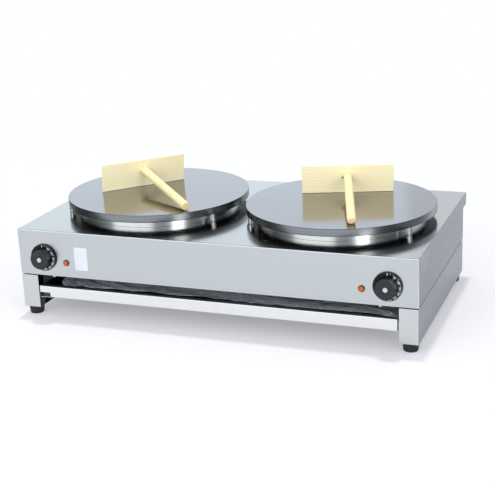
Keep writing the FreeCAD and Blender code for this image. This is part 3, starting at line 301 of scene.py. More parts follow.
def add_piece(name: str, patches: Sequence[Patch], placement: Placement | None = None,
              sharp_above: float = 32.0, soft_edge: float = 0.0, flat_faces: bool = True) -> Piece:
    """Put surfaces into one mesh object that stands at the origin.

    The points' places in the piece's own frame are kept in the attribute own_place, in
    millimetres. Points that meet are merged, which closes seams and poles.

    Args:
        name: Name of the piece.
        patches: Its surfaces, in the piece's own frame.
        placement: Where that frame stands. None is the machine's own frame.
        sharp_above: Edges that bend more than this many degrees stay sharp.
        soft_edge: Width of the small round on sharp edges. Zero leaves them.
        flat_faces: Whether each large face decides the shading of its rim.

    Returns:
        The object.
    """
    points, faces, first = [], [], 0
    for patch in patches:
        rows, columns = patch.points.shape[:2]
        number = first + np.arange(rows * columns).reshape(rows, columns)
        quads = [number[:-1, :-1], number[:-1, 1:], number[1:, 1:], number[1:, :-1]]
        faces += np.stack(quads, axis=-1).reshape(-1, 4).tolist()
        if patch.filled:
            faces += [number[0, :-1][::-1].tolist(), number[-1, :-1].tolist()]
        points.append(patch.points.reshape(-1, 3))
        first += rows * columns
    own = np.concatenate(points)
    placed = own if placement is None else placement.of(own)
    mesh = bpy.data.meshes.new(name)
    mesh.from_pydata((placed * MM).tolist(), [], faces)
    mesh.attributes.new("own_place", "FLOAT_VECTOR", "POINT")
    mesh.attributes["own_place"].data.foreach_set("vector", own.astype(np.float32).ravel())
    close_mesh(mesh)
    mesh.shade_smooth()
    mesh.set_sharp_from_angle(angle=math.radians(sharp_above))
    piece = bpy.data.objects.new(name, mesh)
    bpy.context.scene.collection.objects.link(piece)
    if soft_edge:
        bevel = piece.modifiers.new("soft_edges", "BEVEL")
        bevel.width = soft_edge * MM
        bevel.segments = 2
        bevel.limit_method = "ANGLE"
        bevel.angle_limit = math.radians(40)
    if flat_faces:
        normals = piece.modifiers.new("flat_faces", "WEIGHTED_NORMAL")
        normals.mode = "FACE_AREA"
        normals.keep_sharp = True
    return piece


# Shader tools


class Bench:
    """Adds nodes to one tree and joins them."""

    def __init__(self, tree: Tree) -> None:
        """Work in the given tree."""
        self.tree = tree

    def feed(self, socket: Socket, value: object) -> None:
        """Give a socket a value, or join another socket to it."""
        if isinstance(value, Socket):
            self.tree.links.new(value, socket)
        elif socket.type == "RGBA" and len(value) == 3:
            socket.default_value = (*value, 1.0)
        else:
            socket.default_value = value

    def fill(self, sockets: Sockets, values: dict) -> None:
        """Feed several sockets, found by name or number."""
        for name, value in values.items():
            self.feed(sockets[name], value)

    def add(self, kind: str, inputs: dict | None = None, **settings: object) -> bpy.types.Node:
        """Add a node.

        Args:
            kind: Type of the node, without its ShaderNode prefix.
            inputs: What goes into its sockets, by name or number: a value or another socket.
            **settings: The node's own settings.

        Returns:
            The node.
        """
        node = self.tree.nodes.new("ShaderNode" + kind)
        for name, value in settings.items():
            setattr(node, name, value)
        self.fill(node.inputs, inputs or {})
        return node

    def math(self, operation: str, first: object, second: object = 0.0,
             third: object = 0.0) -> Socket:
        """Return the result of one sum on values."""
        return self.add("Math", {0: first, 1: second, 2: third}, operation=operation).outputs[0]

    def times(self, first: object, second: object) -> Socket:
        """Return the product of two values."""
        return self.math("MULTIPLY", first, second)

    def span(self, value: object, low: object, high: object, start: object = 0.0,
             end: object = 1.0) -> Socket:
        """Return a value mapped from low and high to start and end, and held between them."""
        return self.add("MapRange", {"Value": value, "From Min": low, "From Max": high,
                                     "To Min": start, "To Max": end}).outputs[0]

    def blend(self, share: object, first: object, second: object) -> Socket:
        """Return a colour that goes from the first to the second as share goes to one."""
        return self.add("Mix", {0: share, 6: first, 7: second}, data_type="RGBA").outputs[2]

    def wash(self, mask: Socket, amount: object, tone: object, colour: object) -> Socket:
        """Return a tone with an amount of a colour where a mask is."""
        return self.blend(self.times(mask, amount), tone, colour)

    def noise(self, place: object, scale: float, detail: float = 2.0,
              rough: float = 0.5) -> Socket:
        """Return smooth noise between about 0 and 1."""
        return self.add("TexNoise", {"Vector": place, "Scale": scale, "Detail": detail,
                                     "Roughness": rough}).outputs["Fac"]

    def stretch(self, place: object, by: object) -> Socket:
        """Return a place with each of its coordinates multiplied."""
        return self.add("VectorMath", {0: place, 1: by}, operation="MULTIPLY").outputs[0]

    def away(self, place: object, middle: object) -> Socket:
        """Return the way to a place from another one."""
        return self.add("VectorMath", {0: place, 1: middle}, operation="SUBTRACT").outputs[0]

    def turn(self, place: object, angles: Point) -> Socket:
        """Return a place turned by angles in degrees."""
        turn = tuple(math.radians(angle) for angle in angles)
        return self.add("Mapping", {"Vector": place, "Rotation": turn}).outputs[0]

    def length(self, place: object) -> Socket:
        """Return how far a place is from the origin."""
        return self.add("VectorMath", {0: place}, operation="LENGTH").outputs["Value"]

    def part(self, place: object, axis: str) -> Socket:
        """Return one coordinate of a place."""
        return self.add("SeparateXYZ", {0: place}).outputs[axis]

    def bump(self, height: object, depth: float, strength: float = 1.0) -> Socket:
        """Return the normal of a surface raised by a height, depth being in millimetres."""
        return self.add("Bump", {"Height": height, "Distance": depth * MM,
                                 "Strength": strength}).outputs["Normal"]


class Effect(Bench):
    """The nodes of a pattern that several materials use, as a group with named sockets."""

    def __init__(self, name: str, inputs: dict[str, object], outputs: Sequence[str]) -> None:
        """Start the group.

        Args:
            name: Name of the effect.
            inputs: Its inputs besides Place, with their usual values. Three numbers make a
                vector.
            outputs: Names of its outputs, all of them values.
        """
        super().__init__(bpy.data.node_groups.new(name, "ShaderNodeTree"))
        for label, usual in {"Place": ORIGIN, **inputs}.items():
            kind = "NodeSocketVector" if isinstance(usual, tuple) else "NodeSocketFloat"
            socket = self.tree.interface.new_socket(name=label, in_out="INPUT", socket_type=kind)
            socket.default_value = usual
        for label in outputs:
            self.tree.interface.new_socket(name=label, in_out="OUTPUT",
                                           socket_type="NodeSocketFloat")
        self.given = self.tree.nodes.new("NodeGroupInput").outputs
        self.place = self.given["Place"]

    def result(self, values: dict[str, Socket]) -> Tree:
        """Join the group's outputs and return its tree."""
        self.fill(self.tree.nodes.new("NodeGroupOutput").inputs, values)
        return self.tree


@cache
def brush_lines() -> Tree:
    """Fine lines of a brushed sheet: noise whose pattern is long one way and short the others."""
    bench = Effect("brush_lines", {"Stretch": Brushing.ALONG_X.value}, ["Lines", "Bands"])
    drawn = bench.stretch(bench.place, bench.given["Stretch"])
    return bench.result({"Lines": bench.span(bench.noise(drawn, 1.0, 3.0, 0.7), 0.3, 0.7),
                         "Bands": bench.span(bench.noise(drawn, 0.06), 0.35, 0.65)})


@cache
def smudges() -> Tree:
    """Soft patches left by wiping and handling: coarse noise above a level."""
    bench = Effect("smudges", {"Scale": 8.0, "Cover": 0.5}, ["Mask"])
    soft = bench.noise(bench.place, bench.given["Scale"], 5.0, 0.62)
    level = bench.math("SUBTRACT", 0.78, bench.times(bench.given["Cover"], 0.4))
    return bench.result({"Mask": bench.span(soft, level, bench.math("ADD", level, 0.2))})


@cache
def specks() -> Tree:
    """Dust and small nicks: round spots around scattered points, most of which are left out."""
    bench = Effect("specks", {"Scale": 120.0, "Share": 0.1, "Size": 0.12}, ["Mask"])
    given = bench.given
    cells = bench.add("TexVoronoi", {"Vector": bench.place, "Scale": given["Scale"]}).outputs
    lot = bench.add("SeparateColor", {"Color": cells["Color"]}).outputs["Red"]
    chosen = bench.math("LESS_THAN", lot, given["Share"])
    spot = bench.span(cells["Distance"], bench.times(given["Size"], 0.5), given["Size"], 1.0, 0.0)
    return bench.result({"Mask": bench.times(spot, chosen)})


@cache
def turning_marks() -> Tree:
    """Rings left by a lathe: noise that changes only with the distance from an upright axis."""
    bench = Effect("turning_marks", {"Middle": ORIGIN, "Pitch": 1500.0}, ["Marks", "Bands"])
    flat = bench.stretch(bench.away(bench.place, bench.given["Middle"]), (1.0, 1.0, 0.0))
    turns = bench.times(bench.length(flat), bench.given["Pitch"])
    along = bench.add("CombineXYZ", {"X": turns}).outputs[0]
    return bench.result({"Marks": bench.span(bench.noise(along, 1.0), 0.3, 0.7),
                         "Bands": bench.span(bench.noise(along, 0.03), 0.35, 0.65)})


@cache
def box_edge_highlight() -> Tree:
    """Painted highlight along a box's edges: one where a place is near two faces of a box at once.

    For each axis the gap is the half size less the distance from the middle. The mask falls
    from one to zero as the middle one of the three gaps grows to the width, broken by noise.
    """
    bench = Effect("box_edge_highlight", {"Middle": ORIGIN, "Half": (1.0, 1.0, 1.0), "Width": 0.002,
                                 "Breakup": 0.3}, ["Mask"])
    given = bench.given
    away = bench.add("VectorMath", {0: bench.away(bench.place, given["Middle"])},
                     operation="ABSOLUTE").outputs[0]
    gap = bench.add("SeparateXYZ", {0: bench.away(given["Half"], away)}).outputs
    lower = bench.math("MINIMUM", gap["X"], gap["Y"])
    upper = bench.math("MAXIMUM", gap["X"], gap["Y"])
    middle = bench.math("MAXIMUM", lower, bench.math("MINIMUM", upper, gap["Z"]))
    near = bench.span(middle, 0.0, given["Width"], 1.0, 0.0)
    whole = bench.span(bench.noise(bench.place, 60.0, 3.0), 0.25, 0.6)
    lost = bench.times(given["Breakup"], bench.math("SUBTRACT", 1.0, whole))
    return bench.result({"Mask": bench.times(near, bench.math("SUBTRACT", 1.0, lost))})


@cache
def wood_grain() -> Tree:
    """Grain of a planed softwood, in millimetres, with the grain along X.

    Rings are the fraction of (distance from a wavy pith line / ring width), fibres are noise
    that is long along X, and a knot bends the rings round itself and darkens its middle.
    """
    bench = Effect("wood_grain", {"Pith": (0.0, 60.0, -40.0), "Ring Width": 4.5, "Knot": ORIGIN,
                                  "Knot Size": 0.0}, ["Rings", "Fibres", "Knot"])
    place, given = bench.place, bench.given
    sway = bench.noise(bench.stretch(place, (0.006, 0.02, 0.02)), 1.0)
    sway = bench.times(bench.math("SUBTRACT", sway, 0.5), 26.0)
    off_knot = bench.length(bench.stretch(bench.away(place, given["Knot"]), (0.45, 1.0, 1.0)))
    near = bench.math("DIVIDE", off_knot, bench.math("MAXIMUM", given["Knot Size"], 0.01))
    push = bench.math("DIVIDE", given["Knot Size"], bench.math("ADD", near, 0.6))
    across = bench.stretch(bench.away(place, given["Pith"]), (0.02, 1.0, 1.0))
    radius = bench.math("ADD", bench.math("ADD", bench.length(across), sway), push)
    ring = bench.math("FRACT", bench.math("DIVIDE", radius, given["Ring Width"]))
    late = bench.times(bench.span(ring, 0.45, 0.9), bench.span(ring, 0.9, 1.0, 1.0, 0.0))
    fibres = bench.noise(bench.stretch(place, (0.03, 2.2, 2.2)), 1.0, 3.0, 0.65)
    return bench.result({"Rings": late, "Fibres": bench.span(fibres, 0.3, 0.7),
                         "Knot": bench.span(near, 0.55, 1.15, 1.0, 0.0)})


class Paint(Bench):
    """The nodes of one material: its Principled shader and the place on the piece."""

    def __init__(self, name: str) -> None:
        """Begin the material of that name."""
        self.material = bpy.data.materials.new(name)
        self.material.use_nodes = True
        super().__init__(self.material.node_tree)
        self.place = self.add("TexCoord").outputs["Object"]

    def effect(self, tree: Tree, inputs: dict) -> Sockets:
        """Place a shared effect, at the place on the piece if no other is given."""
        node = self.add("Group", node_tree=tree)
        self.fill(node.inputs, {"Place": self.place, **inputs})
        return node.outputs

    def shaded(self, values: dict) -> Material:
        """Feed the shader's sockets and return the material."""
        self.fill(self.tree.nodes["Principled BSDF"].inputs, values)
        return self.material


def in_metres(point: Point) -> Point:
    """Return a point in millimetres as metres."""
    return tuple(part * MM for part in point)


def darker(colour: Colour, share: float) -> Colour:
    """Return a share of a colour."""
    return tuple(part * share for part in colour)


@dataclass(frozen=True)
class Finish(ABC):
    """What every finish has: a name, two colours it varies between, wiping marks and dust.

    A smudge goes to the shade, and a speck of dust to a share of the shade.
    """

    name: str
    colour: Colour
    shade: Colour
    roughness: float
    smudge_scale: float = 20.0
    smudge_cover: float = 0.6
    smudge_tone: float = 0.3
    smudge_rough: float = 0.1
    dust: float = 0.0
    dust_scale: float = 400.0
    dust_tone: float = 1.0
    dust_share: float = 1.0

    @abstractmethod
    def build(self) -> Material:
        """Return the material."""

    def worn(self, paint: Paint, tone: object) -> tuple[Socket, Socket, Socket]:
        """Add the wiping marks and the dust.

        Args:
            paint: The material's nodes.
            tone: The colour so far.

        Returns:
            The colour, the roughness and the mask of the wiping marks.
        """
        wiped = paint.effect(smudges(), {"Scale": self.smudge_scale,
                                         "Cover": self.smudge_cover})["Mask"]
        tone = paint.wash(wiped, self.smudge_tone, tone, self.shade)
        if self.dust:
            dots = paint.effect(specks(), {"Scale": self.dust_scale, "Share": self.dust})["Mask"]
            tone = paint.wash(dots, self.dust_tone, tone, darker(self.shade, self.dust_share))
        rough = paint.math("MULTIPLY_ADD", wiped, self.smudge_rough, self.roughness)
        return tone, rough, wiped


@dataclass(frozen=True)
class SheetMetal(Finish):
    """Brushed or rolled sheet with wiping marks, a little dust, and painted highlight and shade
    where asked.
    """

    smudge_scale: float = 7.0
    smudge_cover: float = 0.4
    smudge_tone: float = 0.2
    smudge_rough: float = 0.06
    dust: float = 0.02
    dust_scale: float = 160.0
    dust_tone: float = 0.5
    dust_share: float = 0.6
    brushing: Brushing = Brushing.ALONG_X
    line_strength: float = 0.2
    line_depth: float = 0.001
    band_rough: float = 0.02
    # edge_colour, edge_width, box_middle and box_half paint a highlight along a box's edges.
    edge_colour: Colour = (0.95, 0.96, 0.97)
    edge_width: float = 1.4
    box_middle: Point = ORIGIN
    box_half: Point | None = None
    # Faces nearer the middle than this take painted shade.
    painted_shade_within: float | None = None
    painted_shade_share: float = 0.3
    # A painted shade line along a seam, running rearward from a level in Y.
    seam_y: float | None = None
    seam_shade_width: float = 4.0
    seam_shade_tone: float = 0.55
    seam_shade_share: float = 0.35

    def build(self) -> Material:
        """Return the material."""
        paint = Paint(self.name)
        lines = paint.effect(brush_lines(), {"Stretch": self.brushing.value})
        tone = paint.wash(lines["Lines"], self.line_strength, self.colour, self.shade)
        tone, rough, _ = self.worn(paint, tone)
        tone = self.own_marks(paint, tone)
        return paint.shaded({
            "Base Color": tone, "Metallic": 1.0,
            "Roughness": paint.math("MULTIPLY_ADD", lines["Bands"], self.band_rough, rough),
            "Normal": paint.bump(lines["Lines"], self.line_depth)})

    def own_marks(self, paint: Paint, tone: Socket) -> Socket:
        """Return the colour with a painted edge highlight, painted inner shade and painted seam
        shade, where it has them.
        """
        # Painted highlight along the sheet's folded edges, where they would catch the light.
        if self.box_half is not None:
            painted_edge_highlight = paint.effect(box_edge_highlight(), {"Middle": in_metres(self.box_middle),
                                                "Half": in_metres(self.box_half),
                                                "Width": self.edge_width * MM})["Mask"]
            tone = paint.blend(painted_edge_highlight, tone, self.edge_colour)
        # Painted shade on the faces within the channel.
        if self.painted_shade_within is not None:
            across = paint.math("ABSOLUTE", paint.part(paint.place, "X"))
            inside = paint.math("LESS_THAN", across, self.painted_shade_within * MM)
            tone = paint.blend(inside, tone, darker(self.shade, self.painted_shade_share))
        # Painted shade in the seam between the top and the front sheet.
        if self.seam_y is not None:
            painted_seam_shade = paint.span(paint.part(paint.place, "Y"), self.seam_y * MM,
                               (self.seam_y + self.seam_shade_width) * MM, self.seam_shade_tone, 0.0)
            tone = paint.blend(painted_seam_shade, tone, darker(self.shade, self.seam_shade_share))
        return tone


@dataclass(frozen=True)
class FilmedSheet(SheetMetal):
    """Sheet whose clear film has lifted in pale streaks near one corner."""

    lifted_at: Point = (430.0, -190.0, 172.0)
    lifted_reach: Point = (30.0, 55.0, 26.0)
    film_colour: Colour = (0.46, 0.52, 0.57)
    nick_colour: Colour = (0.75, 0.80, 0.84)
    slant: float = -38.0

    def own_marks(self, paint: Paint, tone: Socket) -> Socket:
        """Return the colour with the lifted film: slanting streaks that fade with distance."""
        away = paint.away(paint.place, in_metres(self.lifted_at))
        spread = tuple(1 / (reach * MM) for reach in self.lifted_reach)
        fade = paint.span(paint.length(paint.stretch(away, spread)), 0.5, 1.1, 1.0, 0.0)
        turned = paint.turn(paint.place, (self.slant, 0.0, 0.0))
        streak = paint.noise(paint.stretch(turned, (30.0, 34.0, 330.0)), 1.0, 3.0, 0.6)
        nicks = paint.effect(specks(), {"Scale": 62.0, "Share": 0.07, "Size": 0.1})["Mask"]
        tone = paint.wash(paint.span(streak, 0.52, 0.66), fade, tone, self.film_colour)
        return paint.blend(nicks, tone, self.nick_colour)


@dataclass(frozen=True)
class TurnedMetal(Finish):
    """Turned or plated metal around one upright axis, such as a griddle plate or a ring."""

    smudge_scale: float = 14.0
    smudge_cover: float = 0.3
    smudge_tone: float = 0.4
    smudge_rough: float = 0.08
    dust: float = 0.02
    dust_scale: float = 220.0
    dust_tone: float = 0.6
    dust_share: float = 0.5
    middle: Point = ORIGIN
    pitch: float = 1200.0
    mark_depth: float = 0.002
    band_tone: float = 0.5
    band_rough: float = 0.03
    edge_colour: Colour | None = None
    edge_roughness: float = 0.3
    edge_below: float = 0.0
    edge_fade: float = 0.2
    # The underside's dark colour is partly the iron's own, partly painted shade under the plate.
    under_colour: Colour = (0.02, 0.02, 0.022)
    under_below: float = -1000.0
    under_fade: float = 0.5
    # Painted shade lines along the rim's top and bottom edges, where chamfers would be shaded.
    chamfer_shade_colour: Colour = (0.05, 0.055, 0.06)
    chamfer_shade_width: float = 1.1

    def build(self) -> Material:
        """Return the material."""
        paint = Paint(self.name)
        marks = paint.effect(turning_marks(), {"Middle": in_metres(self.middle),
                                               "Pitch": self.pitch})
        tone = paint.wash(marks["Bands"], self.band_tone, self.colour, self.shade)
        tone, rough, _ = self.worn(paint, tone)
        rough = paint.math("MULTIPLY_ADD", marks["Bands"], self.band_rough, rough)
        if self.edge_colour is not None:
            tone, rough = self.rim(paint, tone, rough)
        return paint.shaded({"Base Color": tone, "Roughness": rough, "Metallic": 1.0,
                             "Normal": paint.bump(marks["Marks"], self.mark_depth)})

    def rim(self, paint: Paint, tone: Socket, rough: Socket) -> tuple[Socket, Socket]:
        """Give the rim its own colour, the underside a dark one, and the rim painted shade lines
        at its edges.

        Args:
            paint: The material's nodes.
            tone: The colour so far.
            rough: The roughness so far.

        Returns:
            The colour and the roughness.
        """
        height = paint.part(paint.place, "Z")
        edge = paint.span(height, (self.edge_below - self.edge_fade) * MM, self.edge_below * MM,
                          1.0, 0.0)
        tone = paint.blend(edge, tone, self.edge_colour)
        gap = paint.math("SUBTRACT", self.edge_roughness, rough)
        rough = paint.math("MULTIPLY_ADD", gap, edge, rough)
        middle = (self.edge_below + self.under_below) / 2
        half = (self.edge_below - self.under_below) / 2
        # Painted shade lines at the rim's top and bottom edges.
        off_middle = paint.math("ABSOLUTE", paint.math("SUBTRACT", height, middle * MM))
        line = paint.span(off_middle, (half - self.chamfer_shade_width) * MM,
                          (half - 0.6 * self.chamfer_shade_width) * MM)
        tone = paint.wash(line, edge, tone, self.chamfer_shade_colour)
        # The underside goes dark: the iron's own colour and painted shade.
        under = paint.span(height, self.under_below * MM,
                           (self.under_below + self.under_fade) * MM, 1.0, 0.0)
        return paint.blend(under, tone, self.under_colour), rough


@dataclass(frozen=True)
class Moulding(Finish):
    """Moulded plastic or rubber with a fine texture, a wiped sheen and dust."""

    smudge_scale: float = 45.0
    smudge_cover: float = 0.45
    smudge_tone: float = 0.25
    smudge_rough: float = 0.12
    dust: float = 0.05
    dust_scale: float = 420.0
    dust_tone: float = 0.7
    texture_scale: float = 2500.0
    texture_depth: float = 0.002
    shine: float = 0.5

    def build(self) -> Material:
        """Return the material."""
        paint = Paint(self.name)
        tone, rough, _ = self.worn(paint, self.colour)
        fine = paint.noise(paint.place, self.texture_scale)
        return paint.shaded({"Base Color": tone, "Roughness": rough,
                             "Specular IOR Level": self.shine,
                             "Normal": paint.bump(fine, self.texture_depth)})


@dataclass(frozen=True)
class Pine(Finish):
    """Bare planed softwood: rings, fibres, and a knot where one is asked for."""

    colour: Colour = (0.97, 0.90, 0.59)
    shade: Colour = (0.83, 0.69, 0.38)
    roughness: float = 0.5
    knot_colour: Colour = (0.22, 0.11, 0.04)
    ring_tone: float = 0.34
    fibre_tone: float = 0.18
    fibre_rough: float = 0.15
    cloud_tone: float = 0.2
    grain_depth: float = 0.06
    grain_turn: Point = ORIGIN
    pith: Point = (0.0, 60.0, -40.0)
    ring_width: float = 4.5
    knot: Point = ORIGIN
    knot_size: float = 0.0
    end_level: float | None = None
    end_tone: float = 0.55
    end_fade: float = 1.5

    def build(self) -> Material:
        """Return the material."""
        paint = Paint(self.name)
        own = paint.add("Attribute", attribute_name="own_place").outputs["Vector"]
        turned = paint.turn(own, self.grain_turn)
        grain = paint.effect(wood_grain(), {
            "Place": turned, "Pith": self.pith, "Ring Width": self.ring_width,
            "Knot": self.knot, "Knot Size": self.knot_size})
        cloud = paint.effect(smudges(), {
            "Place": paint.stretch(turned, (0.004, 0.03, 0.03)), "Scale": 1.0, "Cover": 0.7})
        tone = self.colour
        for mask, amount in ((grain["Rings"], self.ring_tone), (grain["Fibres"], self.fibre_tone),
                             (cloud["Mask"], self.cloud_tone)):
            tone = paint.wash(mask, amount, tone, self.shade)
        tone = paint.blend(grain["Knot"], tone, self.knot_colour)
        if self.end_level is not None:
            end = paint.span(paint.part(own, "Y"), self.end_level,
                             self.end_level + self.end_fade, self.end_tone, 0.0)
            tone = paint.blend(end, tone, self.shade)
        rough = paint.math("MULTIPLY_ADD", grain["Fibres"], self.fibre_rough, self.roughness)
        height = paint.math("MULTIPLY_ADD", grain["Rings"], 0.6, grain["Fibres"])
        return paint.shaded({"Base Color": tone, "Roughness": rough,
                             "Normal": paint.bump(height, self.grain_depth, 0.7)})


@dataclass(frozen=True)
class AmberLens(Finish):
    """Amber lamp cover: deep orange with fine rings and a glossy skin."""

    colour: Colour = (0.50, 0.108, 0.013)
    shade: Colour = (0.30, 0.06, 0.010)
    roughness: float = 0.22
    smudge_scale: float = 260.0
    middle: Point = ORIGIN
    ring_pitch: float = 6.5
    ring_depth: float = 0.05
    rim_from: float = 3.5
    rim_to: float = 6.2

    def build(self) -> Material:
        """Return the material."""
        paint = Paint(self.name)
        away = paint.away(paint.place, in_metres(self.middle))
        distance = paint.length(paint.stretch(away, (1.0, 0.0, 1.0)))
        rings = paint.math("SINE", paint.times(distance, self.ring_pitch / MM))
        rim = paint.span(distance, self.rim_from * MM, self.rim_to * MM)
        tone, rough, _ = self.worn(paint, paint.blend(rim, self.colour, self.shade))
        return paint.shaded({"Base Color": tone, "Roughness": rough, "Specular IOR Level": 0.3,
                             "Normal": paint.bump(rings, self.ring_depth, 0.6)})


@dataclass(frozen=True)
class Film(Finish):
    """Thin shiny film with creases finer than the ones in its mesh, lightened as a painted
    highlight.
    """

    colour: Colour = (0.50, 0.57, 0.63)
    shade: Colour = (0.24, 0.29, 0.33)
    roughness: float = 0.24
    smudge_tone: float = 0.6
    smudge_rough: float = 0.15
    # Creases lighten towards this colour: a painted highlight.
    crease_highlight_colour: Colour = (0.90, 0.96, 1.0)
    crease_highlight_tone: float = 0.7
    crease_depth: float = 1.2
    metallic: float = 0.2

    def build(self) -> Material:
        """Return the material."""
        paint = Paint(self.name)
        bent = paint.add("VectorMath", {0: paint.place, 1: paint.noise(paint.place, 14.0, 3.0)},
                         operation="ADD").outputs[0]
        creases = paint.add("TexVoronoi", {"Vector": bent, "Scale": 42.0},
                            feature="DISTANCE_TO_EDGE").outputs["Distance"]
        ridge = paint.span(creases, 0.0, 0.12, 1.0, 0.0)
        tone, rough, _ = self.worn(paint, self.colour)
        # Lighter creases are a painted highlight, where the crumpled film would catch the light.
        return paint.shaded({
            "Base Color": paint.wash(ridge, self.crease_highlight_tone, tone, self.crease_highlight_colour),
            "Roughness": rough, "Metallic": self.metallic,
            "Normal": paint.bump(ridge, self.crease_depth, 0.9)})


@dataclass(frozen=True)
class Cloudy(Finish):
    """A painted or printed surface with faint unevenness."""

    roughness: float = 0.45
    smudge_scale: float = 60.0
    smudge_cover: float = 0.7
    smudge_tone: float = 0.5
    dust: float = 0.05
    cloud_depth: float = 0.01

    def build(self) -> Material:
        """Return the material."""
        paint = Paint(self.name)
        tone, rough, cloud = self.worn(paint, self.colour)
        return paint.shaded({"Base Color": tone, "Roughness": rough,
                             "Normal": paint.bump(cloud, self.cloud_depth)})


# Finishes of this machine

# The front steel's box paints a highlight along the front sheet's folded edges.
FRONT_STEEL = SheetMetal("front_steel", (0.545, 0.58, 0.592), (0.515, 0.55, 0.562), 0.25,
                         smudge_tone=0.06, smudge_cover=0.1, smudge_rough=0.02, dust=0.004,
                         box_middle=(0.0, -128.5, 142.0), box_half=(430.0, 100.0, 49.0))
# The top steel takes a painted shade line along its front seam.
TOP_STEEL = SheetMetal("top_steel", (0.45, 0.44, 0.41), (0.43, 0.42, 0.39), 0.13,
                       smudge_rough=0.03, line_depth=0.0006, seam_y=-226.0)
REAR_STEEL = SheetMetal("rear_steel", (0.52, 0.56, 0.59), (0.45, 0.49, 0.52), 0.28)
# Darker copies of the stainless for faces that look sideways. The side steel is partly the
# blue-grey of its clear film and partly painted shade; the base steel is painted shade.
SHADED_SIDE_STEEL = FilmedSheet("filmed_shaded_side_steel", (0.172, 0.198, 0.222), (0.154, 0.180, 0.204), 0.29,
                         brushing=Brushing.ALONG_Y, smudge_tone=0.1, line_strength=0.08,
                         line_depth=0.0002)
# The base steel paints shade on the channels' inner faces.
SHADED_BASE_STEEL = SheetMetal("shaded_base_side_steel", (0.220, 0.245, 0.266), (0.202, 0.227, 0.248), 0.30,
                        brushing=Brushing.ALONG_Y, smudge_tone=0.1, line_strength=0.08,
                        line_depth=0.0002, painted_shade_within=429.4)
LEG_STEEL = SheetMetal("leg_steel", (0.62, 0.64, 0.645), (0.58, 0.60, 0.605), 0.30,
                       brushing=Brushing.ALONG_Z)
DRAWER_STEEL = SheetMetal("drawer_steel", (0.83, 0.84, 0.845), (0.64, 0.66, 0.67), 0.30,
                          smudge_tone=0.5, smudge_scale=13.0)
GALVANISED = SheetMetal("galvanised_sheet", (0.42, 0.43, 0.44), (0.30, 0.31, 0.33), 0.42,
                        smudge_cover=0.9, smudge_scale=40.0)
# The tray's steel is darkened as painted shade, for the shade in the drawer under the casing.
SHADED_TRAY_STEEL = SheetMetal("shaded_tray_steel", (0.10, 0.108, 0.12), (0.06, 0.066, 0.074), 0.38,
                        smudge_cover=0.8, smudge_scale=20.0)
CHROME_PLATE = TurnedMetal("chromed_ring", (0.86, 0.88, 0.90), (0.78, 0.80, 0.83), 0.21)
POST_METAL = TurnedMetal("turned_post", (0.60, 0.62, 0.65), (0.50, 0.52, 0.55), 0.24)
DARK_SHEATH = TurnedMetal("heater_sheath", (0.16, 0.16, 0.17), (0.09, 0.09, 0.10), 0.5)
COPPER_TUBE = TurnedMetal("copper_tube", (0.75, 0.42, 0.28), (0.50, 0.26, 0.16), 0.28)
BRASS_METAL = TurnedMetal("brass_part", (0.76, 0.58, 0.28), (0.58, 0.42, 0.18), 0.26)
ZINC_PLATE = TurnedMetal("zinc_plated", (0.62, 0.64, 0.66), (0.45, 0.47, 0.49), 0.28)
DIAL_BLACK = Moulding("dial_black", (0.008, 0.008, 0.010), (0.05, 0.05, 0.055), 0.34, shine=0.16,
                      smudge_tone=0.12)
CAP_BLACK = Moulding("cap_black", (0.010, 0.011, 0.013), (0.05, 0.055, 0.06), 0.24, shine=0.45)
BEZEL_BROWN = Moulding("bezel_brown", (0.05, 0.025, 0.015), (0.10, 0.07, 0.05), 0.35, shine=0.3)
FOOT_RUBBER = Moulding("foot_rubber", (0.014, 0.015, 0.017), (0.05, 0.05, 0.055), 0.6,
                       texture_scale=900.0, texture_depth=0.05, shine=0.35)
IVORY = Moulding("ivory_ceramic", (0.80, 0.77, 0.68), (0.66, 0.62, 0.53), 0.5)
INLAY_GREY = Cloudy("inlay_grey", (0.50, 0.51, 0.52), (0.30, 0.31, 0.32), 0.3)
MARK_WHITE = Cloudy("dial_mark_white", (0.94, 0.94, 0.93), (0.84, 0.84, 0.84))
LABEL_WHITE = Cloudy("label_white", (0.65, 0.695, 0.75), (0.61, 0.655, 0.71), 0.35)
TRAY_FILM = Film("tray_film")


@cache
def dressed(finish: Finish) -> Material:
    """Return a finish's material, built once."""
    return finish.build()


# Sub-assemblies


def show(piece: Piece, body: str, slot: str, finish: Finish, replaced: Sequence[str] = ()) -> None:
    """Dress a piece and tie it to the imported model.

    Args:
        piece: The piece.
        body: The body that it moves with.
        slot: The record's slot for its finish.
        finish: Its finish.
        replaced: The solids' nodes that it stands for.
    """
    piece.data.materials.append(dressed(finish))
    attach(piece, body)
    if replaced:
        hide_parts(*replaced)
    LOG.info("%s rides %s, %s, %d points", piece.name, body, slot, len(piece.data.vertices))


def dress_shaded_sides(piece: Piece, finish: Finish, above: float) -> None:
    """Give the faces that look left or right a second, darker finish, which paints shade on them.

    Args:
        piece: The piece.
        finish: The second finish.
        above: Faces whose normal's X part is larger than this take it.
    """
    piece.data.materials.append(dressed(finish))
    normals = np.empty(len(piece.data.polygons) * 3, np.float32)
    piece.data.polygons.foreach_get("normal", normals)
    sideways = np.abs(normals.reshape(-1, 3)[:, 0]) > above
    piece.data.polygons.foreach_set("material_index", sideways.astype(np.int32))


def turned_piece(name: str, corners: Sequence[Pair], radii: Sequence[float], steps: int,
                 placement: Placement, flat_faces: bool = True) -> Piece:
    """Add a piece that is turned round its own Z axis.

    Args:
        name: Name of the piece.
        corners: Corners of its section, each a radius and a height. A section that ends where
            it starts makes a ring, and the others start and end on the axis.
        radii: One radius for each corner between the first and the last.
        steps: Number of straight pieces in a turn.
        placement: Where its frame stands.
        flat_faces: Whether each large face decides the shading of its rim.

    Returns:
        The object.
    """
    return add_piece(name, [revolved(rounded_line(corners, radii), steps)], placement,
                     flat_faces=flat_faces)


